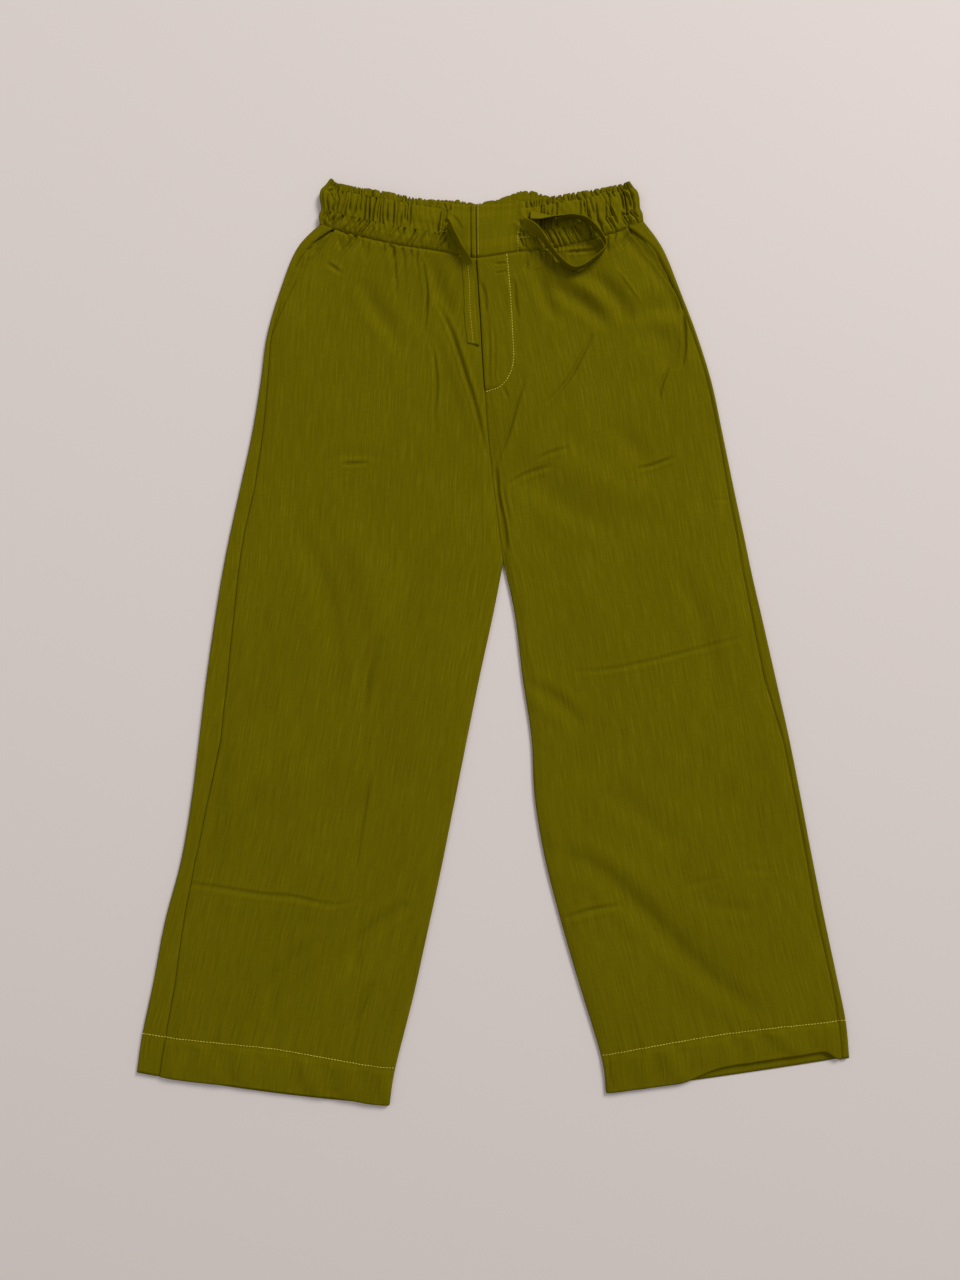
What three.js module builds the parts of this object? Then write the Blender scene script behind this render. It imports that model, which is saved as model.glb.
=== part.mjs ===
// Palazzo pants laid flat on their back, front up: wide straight legs, slanted pockets,
// a mock fly, and a waistband that is plain at the middle and gathered over elastic at the sides.
// Millimetres, +Z up. The waist points to +Y and the wearer's right leg lies on the -X side.
// The back panels lie on z = 0 and wrap round the outer edges, up to the side seams on the front.
import * as THREE from "three";

// Cloth and seams
const CLOTH = 1.2; // wall of one layer of cloth
const SEAM_GAP = 0.3; // left between two pieces where they are sewn together
const LAP_GAP = 0.35; // left between two layers that lie on each other
const BACK_BAND = 3.0; // back waistband: two layers of cloth with elastic between them
const FRONT_BAND = 2.4; // front waistband wall
const PLACKET = 0.9; // what the fly's extra layers add
const HEM_DOUBLE = 0.8; // what the turned-up hem adds to a leg's wall

// Sizes across the garment
const FLY_WIDTH = 33;
const FLY_LENGTH = 139;
const POCKET_TUCK = 8; // how far a pocket facing runs in under the front
const INSEAM_ROUND = 7; // the front turns down to the back over this width at the inseam
const BAND_GATHERS = { right: 16, left: 14, back: 34 };
const PANEL_GATHERS = { right: 9, left: 9 };
const GATHER_REACH = 52; // the fronts' gathers die out this far below the waist seam
const GATHER_HEIGHT = 0.8;

// The body from the waist seam to the crotch. right and left are the outer edges, centre is the
// front seam. bow is how far a section sags below its chord. lie is the height of the upper layer.
const TORSO = [
  { name: "waist seam", rightX: -181.3, rightY: 437.3, centreX: -17.5, centreY: 401.5, leftX: 157.3, leftY: 440.7, rightBow: 4.5, leftBow: 8, lie: 6.3 },
  { name: "pocket mouth", rightX: -205, rightY: 412.5, centreX: -15.8, centreY: 383, leftX: 178, leftY: 411.5, rightBow: 3, leftBow: 5, lie: 5.4 },
  { name: "pocket foot", rightX: -222, rightY: 371, centreX: -13.2, centreY: 345, leftX: 197.5, leftY: 364, rightBow: 0, leftBow: 0, lie: 4.8 },
  { name: "high hip", rightX: -236.5, rightY: 322, centreX: -11, centreY: 305, leftX: 213.5, leftY: 322, rightBow: 0, leftBow: 0, lie: 4.4 },
  { name: "fly foot", rightX: -243.5, rightY: 272, centreX: -8.4, centreY: 262.7, leftX: 229, leftY: 272, rightBow: 0, leftBow: 0, lie: 4.2 },
  { name: "hip", rightX: -252.5, rightY: 218, centreX: -5, centreY: 215, leftX: 240.5, leftY: 218, rightBow: 0, leftBow: 0, lie: 4.2 },
  { name: "seat", rightX: -264.5, rightY: 163, centreX: 0.8, centreY: 163, leftX: 251.8, leftY: 163, rightBow: 0, leftBow: 0, lie: 4.2 },
  { name: "low seat", rightX: -275.5, rightY: 113, centreX: 6.3, centreY: 119, leftX: 262.5, leftY: 113, rightBow: 0, leftBow: 0, lie: 4.2 },
  { name: "crotch", rightX: -283.5, rightY: 72, centreX: 10.8, centreY: 84.2, leftX: 271, leftY: 72, rightBow: 0, leftBow: 0, lie: 4.2 },
];

// The legs below the crotch, a row for each section.
const LEGS = {
  right: [
    { name: "thigh", outerX: -291.5, outerY: 23, innerX: 0.3, innerY: 30, bow: 0 },
    { name: "mid thigh", outerX: -300.5, outerY: -40, innerX: -14.5, innerY: -38, bow: 0 },
    { name: "above knee", outerX: -308, outerY: -102.7, innerX: -28, innerY: -105, bow: 0 },
    { name: "knee", outerX: -316, outerY: -166, innerX: -41.3, innerY: -172, bow: 0 },
    { name: "below knee", outerX: -326.8, outerY: -228.7, innerX: -54.5, innerY: -238, bow: 0 },
    { name: "calf", outerX: -343.5, outerY: -292, innerX: -69, innerY: -305, bow: 0 },
    { name: "shin", outerX: -355.5, outerY: -355, innerX: -83.8, innerY: -372, bow: 2 },
    { name: "hem stitching", outerX: -367.2, outerY: -410, innerX: -102.6, innerY: -447, bow: 3 },
    { name: "hem edge", outerX: -373, outerY: -449.5, innerX: -108.4, innerY: -484.3, bow: 4 },
  ],
  left: [
    { name: "thigh", outerX: 282.3, outerY: 23, innerX: 22.8, innerY: 30, bow: 0 },
    { name: "mid thigh", outerX: 296.2, outerY: -38, innerX: 31.2, innerY: -38, bow: 0 },
    { name: "above knee", outerX: 310.6, outerY: -102.7, innerX: 40.3, innerY: -100, bow: 0 },
    { name: "knee", outerX: 323, outerY: -166, innerX: 43.9, innerY: -163, bow: 0 },
    { name: "below knee", outerX: 334.2, outerY: -225, innerX: 54.2, innerY: -225, bow: 0 },
    { name: "calf", outerX: 346.6, outerY: -287, innerX: 69.8, innerY: -287, bow: 0 },
    { name: "shin", outerX: 360, outerY: -350, innerX: 88, innerY: -350, bow: 1 },
    { name: "hem stitching", outerX: 369.3, outerY: -396, innerX: 113.4, innerY: -434, bow: -2 },
    { name: "hem edge", outerX: 373, outerY: -434.5, innerX: 118.5, innerY: -471.5, bow: 1 },
  ],
};

// How far in from the outer edge the side seam and the front panel's own edge lie, at each
// section from the waist seam to the hem edge. They differ only at the slanted pocket mouth.
const INSETS = {
  right: {
    sideSeam: [13.5, 9, 5.5, 4.6, 7, 11, 15, 14.5, 16.5, 19.5, 22, 22.5, 17, 14.5, 19.5, 22.5, 24.5, 24],
    frontEdge: [17, 25, 13.5, 4.9, 7.3, 11.3, 15.3, 14.8, 16.8, 19.8, 22.3, 22.8, 17.3, 14.8, 19.8, 22.8, 24.8, 24.3],
  },
  left: {
    sideSeam: [15.5, 8, 4.6, 4.6, 4.6, 4.6, 6.5, 7.5, 9, 10.5, 12, 7, 6.3, 6.3, 7.5, 7, 8, 8],
    frontEdge: [18, 20, 6.5, 4.9, 4.9, 4.9, 6.8, 7.8, 9.3, 10.8, 12.3, 7.3, 6.6, 6.6, 7.8, 7.3, 8.3, 8.3],
  },
};

// How many grid rows follow each section, and the last grid rows round the hem's step.
const ROWS_AFTER = [5, 4, 2, 2, 2, 2, 2, 1, 2, 2, 2, 2, 2, 2, 2, 2, 2];

// The front's largest folds: a ridge or, where height is negative, a trough along a bent line.
const FOLDS = [
  { name: "fly to hip, right", fromX: -56, fromY: 362, toX: -4, toY: 183, bend: -5, width: 13, height: -1.2 },
  { name: "beside it, right", fromX: -80, fromY: 352, toX: -28, toY: 190, bend: -4, width: 17, height: 1.5 },
  { name: "from pocket, right", fromX: -128, fromY: 372, toX: -98, toY: 300, bend: 4, width: 15, height: -1.1 },
  { name: "seat, right", fromX: -220, fromY: 205, toX: -120, toY: 168, bend: 8, width: 26, height: 1.4 },
  { name: "knee, right", fromX: -116, fromY: 0, toX: -136, toY: -160, bend: 8, width: 15, height: -1.1 },
  { name: "knee ridge, right", fromX: -100, fromY: -10, toX: -114, toY: -170, bend: 6, width: 17, height: 1.6 },
  { name: "shin cross crease, right", fromX: -300, fromY: -250, toX: -140, toY: -272, bend: -3, width: 16, height: 1.2 },
  { name: "shin hollow, right", fromX: -160, fromY: -292, toX: -234, toY: -396, bend: 12, width: 15, height: -1.2 },
  { name: "inner shin, right", fromX: -94, fromY: -280, toX: -146, toY: -345, bend: 6, width: 14, height: -1.2 },
  { name: "ankle, right", fromX: -116, fromY: -352, toX: -152, toY: -402, bend: 2, width: 14, height: -1.2 },
  { name: "ankle ridge, right", fromX: -130, fromY: -320, toX: -196, toY: -410, bend: 4, width: 18, height: 1.8 },
  { name: "fly to crotch, left", fromX: 30, fromY: 268, toX: 2, toY: 180, bend: 0, width: 12, height: -1.1 },
  { name: "hip, left", fromX: 60, fromY: 372, toX: 130, toY: 326, bend: -4, width: 17, height: -1.2 },
  { name: "hip ridge, left", fromX: 88, fromY: 384, toX: 168, toY: 330, bend: -6, width: 20, height: 1.8 },
  { name: "below hip, left", fromX: 104, fromY: 322, toX: 56, toY: 242, bend: 3, width: 14, height: -1.1 },
  { name: "across the seat, left", fromX: 24, fromY: 176, toX: 186, toY: 84, bend: 6, width: 21, height: -1.2 },
  { name: "above the seat, left", fromX: 36, fromY: 205, toX: 190, toY: 125, bend: 6, width: 24, height: 1.6 },
  { name: "thigh, left", fromX: 150, fromY: -18, toX: 252, toY: 6, bend: 0, width: 16, height: 1.3 },
  { name: "above knee, left", fromX: 36, fromY: -48, toX: 96, toY: -90, bend: 2, width: 15, height: -1.2 },
  { name: "knee, left", fromX: 94, fromY: -134, toX: 200, toY: -220, bend: 4, width: 18, height: -1.2 },
  { name: "long shin hollow, left", fromX: 58, fromY: -210, toX: 290, toY: -394, bend: 10, width: 16, height: -1.3 },
  { name: "long shin ridge, left", fromX: 92, fromY: -206, toX: 306, toY: -366, bend: 12, width: 22, height: 1.9 },
  { name: "inner shin, left", fromX: 74, fromY: -286, toX: 136, toY: -272, bend: 0, width: 13, height: 1.2 },
];

// The waistband from the right side edge to the left one: the waist seam and the top edge.
const BAND = [
  { name: "right edge", seamX: -181.3, seamY: 437.3, topX: -170.7, topY: 484.3 },
  { name: "right side seam", seamX: -167.3, seamY: 431.5, topX: -160, topY: 477.5 },
  { name: "right gathers", seamX: -145, seamY: 425.3, topX: -142, topY: 474 },
  { name: "right gathers", seamX: -106.3, seamY: 416, topX: -107, topY: 468 },
  { name: "right gathers", seamX: -75, seamY: 411.2, topX: -76, topY: 461.8 },
  { name: "right elastic end", seamX: -45, seamY: 406.2, topX: -44, topY: 457.6 },
  { name: "centre", seamX: -17.5, seamY: 401.5, topX: -18, topY: 456.4 },
  { name: "left elastic end", seamX: 24, seamY: 407.3, topX: 27, topY: 458.4 },
  { name: "left gathers", seamX: 55, seamY: 411, topX: 54, topY: 462.6 },
  { name: "left gathers", seamX: 86.4, seamY: 416.2, topX: 82, topY: 467.6 },
  { name: "left gathers", seamX: 115.3, seamY: 424, topX: 112, topY: 472.4 },
  { name: "left side seam", seamX: 141.8, seamY: 432.9, topX: 134, topY: 477 },
  { name: "left edge", seamX: 157.3, seamY: 440.7, topX: 143.6, topY: 480.6 },
];
const BAND_AT = { rightEdge: 0, rightSeam: 1, rightElastic: 5, centre: 6, leftElastic: 7, leftSeam: 11, leftEdge: 12 };

// Across the waistband, from the waist seam up. puff swells the side edges, wave is the height of
// the gathers, lift is the swell over the elastic and the string channel, up is the place.
const BAND_ROWS = [
  { name: "waist seam", up: 0, puff: 0, wave: 0.5, lift: -0.3 },
  { name: "string channel", up: 0.18, puff: 2.6, wave: 0.8, lift: 0.3 },
  { name: "lower stitching", up: 0.35, puff: 2.2, wave: 0.6, lift: -0.4 },
  { name: "elastic", up: 0.6, puff: 6.4, wave: 1, lift: 0.4 },
  { name: "elastic top", up: 0.76, puff: 6.8, wave: 0.9, lift: 0.3 },
  { name: "upper stitching", up: 0.87, puff: 3.2, wave: 0.5, lift: -0.4 },
  { name: "ruffled edge", up: 1, puff: 0, wave: 0.8, lift: -0.1 },
];
const BAND_HEIGHT = 7; // the front waistband's upper face, before gathers
const SIDE_PUFF = { right: 1, left: 0.6 }; // each side edge's share of puff

// Where the back waistband's top edge shows above the front one: how far it stands up.
const BACK_PEEK = [
  { at: 3.8, rise: -1.5 },
  { at: 4.4, rise: 3 },
  { at: 5.3, rise: 5 },
  { at: 6, rise: 1.8 },
  { at: 6.5, rise: 5 },
  { at: 7, rise: 12.5 },
  { at: 7.5, rise: 10.5 },
  { at: 8.2, rise: 2 },
  { at: 8.8, rise: -1.5 },
];

// The drawstring: a flat tie. turn is how far the tie is rolled out of flat, in degrees, and
// floor is the height of what it lies on.
const TIE_WIDTH = 12.5;
const TIE_THICK = 1.6;
const TIES = {
  drawstring_right_end: [
    { x: -46.5, y: 434.5, floor: 7.6, turn: 74 },
    { x: -40, y: 422, floor: 7.5, turn: 78 },
    { x: -33.5, y: 409, floor: 7, turn: 75 },
    { x: -28.8, y: 399.5, floor: 6.6, turn: 52 },
    { x: -26.2, y: 391, floor: 6.1, turn: 16 },
    { x: -24.8, y: 376, floor: 5.5, turn: 0 },
    { x: -24.4, y: 358, floor: 5.1, turn: 0 },
    { x: -23.4, y: 340, floor: 4.9, turn: 0 },
    { x: -22, y: 324, floor: 4.8, turn: 0 },
    { x: -20.6, y: 311.5, floor: 4.7, turn: 0 },
  ],
  drawstring_left_end: [
    { x: 30, y: 434, floor: 8.1, turn: 28 },
    { x: 39, y: 430.5, floor: 8.3, turn: 50 },
    { x: 48.3, y: 423, floor: 8.3, turn: 72 },
    { x: 57, y: 411.5, floor: 7.9, turn: 84 },
    { x: 66, y: 400.5, floor: 7.5, turn: 88 },
    { x: 75, y: 391.7, floor: 7.3, turn: 90 },
    { x: 84.5, y: 387.2, floor: 7.2, turn: 90 },
    { x: 95.5, y: 391, floor: 7.2, turn: 90 },
    { x: 105.5, y: 398.4, floor: 7.3, turn: 90 },
    { x: 113.5, y: 405.3, floor: 7.5, turn: 90 },
    { x: 116.8, y: 413, floor: 7.7, turn: 90 },
    { x: 111.5, y: 422.5, floor: 8.3, turn: 90 },
    { x: 103.5, y: 432, floor: 8.5, turn: 90 },
    { x: 94, y: 438.6, floor: 8.5, turn: 89 },
    { x: 80, y: 441.2, floor: 8.5, turn: 86 },
    { x: 64, y: 441, floor: 8.5, turn: 72 },
    { x: 50, y: 441.6, floor: 8.4, turn: 45 },
    { x: 38.5, y: 443.5, floor: 8.3, turn: 28 },
  ],
};

const OLIVE = 0x60580a;
const clothLook = (colour) =>
  new THREE.MeshStandardMaterial({ color: colour, roughness: 0.85, metalness: 0 });

// Small helpers
const lerp = THREE.MathUtils.lerp;
const smooth = (x, low, high) => THREE.MathUtils.smoothstep(x, low, high);
const column = (table, key) => table.map((row) => row[key]);

// A value between the rows of a table, at a place given in rows.
function between(values, at) {
  const i = Math.min(Math.floor(at), values.length - 2);
  return lerp(values[i], values[i + 1], at - i);
}

// A smooth curve through points, read at a place given in points.
function curveThrough(points) {
  const curve = new THREE.SplineCurve(points.map(([x, y]) => new THREE.Vector2(x, y)));
  return (at) => curve.getPoint(at / (points.length - 1));
}

// Triangles between two lines of points that may have different counts. The keys say how far
// along its line each point lies, so that points that belong together are joined.
function zip(a, b, triangles, keysA = a.map((_, i) => i / (a.length - 1)), keysB = b.map((_, j) => j / (b.length - 1))) {
  let i = 0;
  let j = 0;
  while (i < a.length - 1 || j < b.length - 1) {
    if (j === b.length - 1 || (i < a.length - 1 && keysA[i + 1] <= keysB[j + 1])) {
      triangles.push([a[i], a[i + 1], b[j]]);
      i += 1;
    } else {
      triangles.push([a[i], b[j + 1], b[j]]);
      j += 1;
    }
  }
}

// A closed wall of cloth from rows of points. Each row has the wall's outer points, under each
// of them its inner ones, and its keys where rows differ in their counts.
function wallOf(rows) {
  const triangles = [];
  for (let r = 0; r + 1 < rows.length; r += 1) {
    const [a, b] = [rows[r], rows[r + 1]];
    zip(a.outer, b.outer, triangles, a.keys, b.keys);
    zip(b.inner, a.inner, triangles, b.keys, a.keys);
  }
  const first = rows[0];
  const last = rows[rows.length - 1];
  zip(first.inner, first.outer, triangles);
  zip(last.outer, last.inner, triangles);
  const side = (pick) => {
    const outerLine = rows.map((row) => pick(row.outer));
    const innerLine = rows.map((row) => pick(row.inner));
    return [outerLine, innerLine];
  };
  const [startOuter, startInner] = side((line) => line[0]);
  zip(startOuter, startInner, triangles);
  const [endOuter, endInner] = side((line) => line[line.length - 1]);
  zip(endInner, endOuter, triangles);
  return solidFrom(triangles);
}

// Makes one geometry of triangles, turned so that its faces point out.
function solidFrom(triangles) {
  const sixfold = triangles.reduce((sum, [a, b, c]) => sum + a.dot(b.clone().cross(c)), 0);
  const facing = sixfold > 0 ? triangles : triangles.map(([a, b, c]) => [a, c, b]);
  const numbers = facing.flat().flatMap((p) => [p.x, p.y, p.z]);
  const geometry = new THREE.BufferGeometry();
  geometry.setAttribute("position", new THREE.Float32BufferAttribute(numbers, 3));
  geometry.computeVertexNormals();
  return geometry;
}

// The layout of one half of the garment: its sections from the waist seam to the hem edge.
function layoutOf(side) {
  const legs = LEGS[side];
  const crotch = TORSO.length - 1;
  const outerCurve = curveThrough([
    ...TORSO.map((row) => [row[side + "X"], row[side + "Y"]]),
    ...legs.map((row) => [row.outerX, row.outerY]),
  ]);
  const centreCurve = curveThrough(TORSO.map((row) => [row.centreX, row.centreY]));
  const last = TORSO[crotch];
  const inseamCurve = curveThrough([
    [last.centreX, last.centreY],
    ...legs.map((row) => [row.innerX, row.innerY]),
  ]);
  const bows = [...column(TORSO, side + "Bow"), ...column(legs, "bow")];
  const lies = [...column(TORSO, "lie"), ...legs.map(() => last.lie)];
  return { side, crotch, outerCurve, centreCurve, inseamCurve, bows, lies, end: crotch + legs.length };
}

// One section: its outer point, its direction towards the inner edge, and its width.
function sectionAt(layout, at) {
  const outer = layout.outerCurve(at);
  const inner = at <= layout.crotch ? layout.centreCurve(at) : layout.inseamCurve(at - layout.crotch);
  const width = outer.distanceTo(inner);
  return {
    layout,
    at,
    outer,
    width,
    along: inner.clone().sub(outer).divideScalar(width),
    bow: between(layout.bows, at),
    lie: between(layout.lies, at),
    sideSeam: between(INSETS[layout.side].sideSeam, at),
    frontEdge: between(INSETS[layout.side].frontEdge, at),
  };
}

const bandSeam = curveThrough(BAND.map((row) => [row.seamX, row.seamY]));
const bandTop = curveThrough(BAND.map((row) => [row.topX, row.topY]));

// The waist seam's height on the garment at a place across it.
function waistSeamY(x) {
  let low = 0;
  let high = BAND.length - 1;
  for (let k = 0; k < 30; k += 1) {
    const middle = (low + high) / 2;
    [low, high] = bandSeam(middle).x > x ? [low, middle] : [middle, high];
  }
  return bandSeam(low).y;
}

// The point of a section that lies a distance in from the outer edge, at a height. A bowed
// section sags below its chord, towards the hem. The first one follows the waist seam.
function pointIn(section, inset, height) {
  const share = inset / section.width;
  const x = section.outer.x + section.along.x * inset;
  const chordY = section.outer.y + section.along.y * inset;
  const sag = 4 * section.bow * share * (1 - share);
  const fading = smooth(section.at, 0, 2);
  return new THREE.Vector3(x, chordY - lerp(waistSag(section.layout, share), sag, fading), height);
}

// How far the waist seam lies below the chord of its half.
function waistSag(layout, share) {
  const outer = layout.outerCurve(0);
  const inner = layout.centreCurve(0);
  return lerp(outer.y, inner.y, share) - waistSeamY(lerp(outer.x, inner.x, share));
}

// Where the grid rows of a panel lie, as places between sections.
function rowPlaces(layout) {
  const places = [];
  for (let s = 0; s < layout.end; s += 1) {
    for (let k = 0; k < ROWS_AFTER[s]; k += 1) {
      places.push(s + k / ROWS_AFTER[s]);
    }
  }
  return [...places, layout.end];
}

const stitchingPlace = (layout) => layout.end - 1;
// The hem's extra thickness, which starts at its stitching.
const hemStep = (layout, at) => HEM_DOUBLE * smooth(at, stitchingPlace(layout) - 0.02, stitchingPlace(layout) + 0.1);

// The folds' height at a place on the front.
function foldHeight(x, y) {
  return FOLDS.reduce((sum, fold) => {
    const alongX = fold.toX - fold.fromX;
    const alongY = fold.toY - fold.fromY;
    const length = Math.hypot(alongX, alongY);
    const share = ((x - fold.fromX) * alongX + (y - fold.fromY) * alongY) / length ** 2;
    if (share < -0.3 || share > 1.3) {
      return sum;
    }
    const across = ((x - fold.fromX) * alongY - (y - fold.fromY) * alongX) / length;
    const off = (across - 4 * fold.bend * share * (1 - share)) / fold.width;
    const ends = smooth(share, -0.25, 0.25) * (1 - smooth(share, 0.75, 1.25));
    return sum + fold.height * ends * Math.exp(-off * off);
  }, 0);
}

// A gather's wave: full at whole numbers, hollow half way between.
const wave = (turns) => Math.cos(2 * Math.PI * turns);
// Uneven spacing: moves places between 0 and 1 and leaves the ends.
const uneven = (share) => share + 0.016 * Math.sin(Math.PI * share) * Math.sin(23 * share + 1);

// The height of a front panel's upper face. fromEdge is the distance in from its own outer edge.
function frontHeight(layout, section, inset) {
  const { x, y } = pointIn(section, inset, 0);
  const fromEdge = inset - section.frontEdge;
  const fromInner = section.width - inset;
  const belowWaist = (section.at / 1) * 32;
  const clearOfEdges = smooth(fromEdge, POCKET_TUCK + 1, POCKET_TUCK + 20) * smooth(fromInner, 2, 16) * smooth(belowWaist, 10, 40);
  const turns = PANEL_GATHERS[layout.side] * uneven((inset - section.frontEdge) / (section.width - section.frontEdge));
  const gather = GATHER_HEIGHT * wave(turns) * (1 - smooth(belowWaist, 0, GATHER_REACH)) * smooth(fromEdge, POCKET_TUCK + 1, POCKET_TUCK + 16) * smooth(fromInner, FLY_WIDTH, FLY_WIDTH + 14);
  const lowest = 2 * CLOTH + LAP_GAP + 0.5 * hemStep(layout, section.at);
  const full = Math.max(section.lie + clearOfEdges * foldHeight(x, y) + gather, lowest);
  const open = smooth(section.at, layout.crotch - 0.2, layout.crotch + 0.6);
  const turned = lowest + (full - lowest) * Math.sqrt(Math.max(0, 1 - (1 - Math.min(fromInner / INSEAM_ROUND, 1)) ** 2));
  return lerp(full, turned, open);
}

// The insets of a front panel's grid columns: even, with three close ones at the inner edge.
function frontColumns(section, count) {
  const first = section.frontEdge;
  const last = section.width - INSEAM_ROUND - 1;
  const even = Array.from({ length: count }, (_, i) => lerp(first, last, i / (count - 1)));
  return [...even, section.width - 3.5, section.width - 1.2, section.width - SEAM_GAP / 2];
}

// A front panel: one layer of cloth over the back, from the pocket mouth and the side seam to
// the front seam and the inseam.
function frontPanel(layout, hemShort) {
  const rows = rowPlaces(layout).map((at, r) => {
    const section = sectionAt(layout, at);
    const columns = frontColumns(section, at < 1.3 ? 34 : 16);
    const nearHem = smooth(at, stitchingPlace(layout), layout.end);
    const place = (inset, height) => {
      const point = pointIn(section, inset, height);
      point.y += (r === 0 ? -SEAM_GAP / 2 : 0) + nearHem * hemShort(inset / section.width);
      return point;
    };
    const upper = columns.map((inset) => place(inset, frontHeight(layout, section, inset) + hemStep(layout, at)));
    const lower = columns.map((inset) => place(inset, frontHeight(layout, section, inset) - CLOTH));
    const keys = columns.map((inset) => (inset - section.frontEdge) / (section.width - section.frontEdge));
    return { outer: upper, inner: lower, keys };
  });
  return wallOf(rows);
}

// A back panel's section: flat on z = 0 from the inner edge, round the outer edge, and back over
// the top to the side seam.
function backPanel(layout) {
  const rows = rowPlaces(layout).map((at, r) => {
    const section = sectionAt(layout, at);
    const radius = section.lie / 2;
    const thick = CLOTH + 0.5 * hemStep(layout, at);
    const outer = [];
    const inner = [];
    const keys = [];
    const add = (inset, outerHeight, innerInset, innerHeight) => {
      const shift = r === 0 ? -SEAM_GAP / 2 : 0;
      outer.push(pointIn(section, inset, outerHeight).add(new THREE.Vector3(0, shift, 0)));
      inner.push(pointIn(section, innerInset, innerHeight).add(new THREE.Vector3(0, shift, 0)));
    };
    const innerEdge = section.width - SEAM_GAP / 2;
    const flat = at < 2 ? 14 : 3;
    for (let k = flat; k > 0; k -= 1) {
      const inset = lerp(radius, innerEdge, k / flat);
      add(inset, 0, inset, thick);
      keys.push(1 - k / flat);
    }
    const bends = 4;
    for (let k = 0; k <= bends; k += 1) {
      const angle = Math.PI * (k / bends);
      const out = Math.sin(angle);
      const up = Math.cos(angle);
      const insideRadius = radius - thick;
      add(radius - radius * out, radius - radius * up, radius - insideRadius * out, radius - insideRadius * up);
      keys.push(1 + k / bends);
    }
    for (const share of at < 2 ? [0.5, 1] : [1]) {
      const inset = lerp(radius, section.sideSeam, share);
      add(inset, section.lie, inset, section.lie - thick);
      keys.push(2 + share);
    }
    return { outer, inner, keys };
  });
  return wallOf(rows);
}

// A pocket facing: a layer just under the front's slanted edge and the back's wrapped edge.
function pocketFacing(layout) {
  const places = [0.12, 0.5, 1, 1.4, 1.8, 2.2, 2.6];
  const rows = places.map((at) => {
    const section = sectionAt(layout, at);
    const top = section.lie - CLOTH - LAP_GAP;
    const from = Math.max(section.sideSeam - 2, section.lie / 2 + 0.6);
    const to = section.frontEdge + POCKET_TUCK;
    const insets = [0, 0.5, 1].map((share) => lerp(from, to, share));
    return {
      outer: insets.map((inset) => pointIn(section, inset, top)),
      inner: insets.map((inset) => pointIn(section, inset, top - CLOTH)),
    };
  });
  return wallOf(rows);
}

// The mock fly on the left front, from the front seam to its J-shaped line of stitching.
function flyPlacket(layout) {
  const top = TORSO[0].centreY;
  const shares = [0.02, 0.12, 0.24, 0.38, 0.52, 0.66, 0.78, 0.87, 0.94, 0.985];
  const rows = shares.map((share) => {
    const y = top - share * FLY_LENGTH;
    const at = placeAtCentre(layout, y);
    const section = sectionAt(layout, at);
    const round = Math.sqrt(1 - Math.max(0, (share - 0.72) / 0.28) ** 2);
    const width = 3 + (FLY_WIDTH - 3) * round;
    const insets = [0, 0.34, 0.67, 1].map((k) => section.width - SEAM_GAP / 2 - width * (1 - k));
    const floor = insets.map((inset) => frontHeight(layout, section, inset) + LAP_GAP);
    return {
      outer: insets.map((inset, i) => pointIn(section, inset, floor[i] + PLACKET)),
      inner: insets.map((inset, i) => pointIn(section, inset, floor[i])),
    };
  });
  return wallOf(rows);
}

// The place between sections where the front seam has a height y on the garment.
function placeAtCentre(layout, y) {
  let low = 0;
  let high = layout.crotch;
  for (let k = 0; k < 30; k += 1) {
    const middle = (low + high) / 2;
    [low, high] = layout.centreCurve(middle).y > y ? [middle, high] : [low, middle];
  }
  return low;
}

// A point of the waistband at a place along it, a row across it, and a height.
function bandPoint(place, row, height) {
  const seam = bandSeam(place);
  const top = bandTop(place);
  const towardsRight = 1 - smooth(place, BAND_AT.rightEdge, BAND_AT.rightSeam + 0.6);
  const towardsLeft = smooth(place, BAND_AT.leftSeam - 0.6, BAND_AT.leftEdge);
  const swell = row.puff * (SIDE_PUFF.left * towardsLeft - SIDE_PUFF.right * towardsRight);
  return new THREE.Vector3(
    lerp(seam.x, top.x, row.up) + swell,
    lerp(seam.y, top.y, row.up) + (row.up === 0 ? SEAM_GAP / 2 : 0),
    height,
  );
}

// One front half of the waistband: plain beside the centre, gathered over the elastic.
function frontBand(seamAt, elasticAt, centreAt, gathers) {
  const steps = 3 * gathers;
  const inward = Math.sign(centreAt - seamAt);
  const columns = [];
  for (let k = 0; k <= steps; k += 1) {
    const share = uneven(k / steps);
    columns.push({ place: lerp(seamAt, elasticAt, share), wave: wave(k / 3) * Math.min(1, (steps - k) / 3) });
  }
  for (const share of [0.35, 0.75, 1]) {
    columns.push({ place: lerp(elasticAt, centreAt, share), wave: 0 });
  }
  const gapPlaces = 0.006 * inward; // half a seam's gap, counted in places along the band
  columns[0].place += gapPlaces;
  columns[columns.length - 1].place -= gapPlaces;
  const rows = BAND_ROWS.map((row) => {
    const heights = columns.map(({ wave: w }) => BAND_HEIGHT + row.lift + row.wave * w);
    const edge = (w) => (row.up === 1 ? { ...row, up: 1 + 0.016 * w } : row);
    return {
      outer: columns.map((c, i) => bandPoint(c.place, edge(c.wave), heights[i])),
      inner: columns.map((c, i) => bandPoint(c.place, edge(c.wave), heights[i] - FRONT_BAND)),
    };
  });
  return wallOf(rows);
}

// How far the back waistband stands above the front one at a place along it.
function backPeek(place) {
  const first = BACK_PEEK[0];
  const last = BACK_PEEK[BACK_PEEK.length - 1];
  const held = THREE.MathUtils.clamp(place, first.at, last.at);
  const next = Math.max(1, BACK_PEEK.findIndex((row) => row.at >= held));
  const [a, b] = [BACK_PEEK[next - 1], BACK_PEEK[next]];
  return lerp(a.rise, b.rise, (held - a.at) / (b.at - a.at));
}

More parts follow.
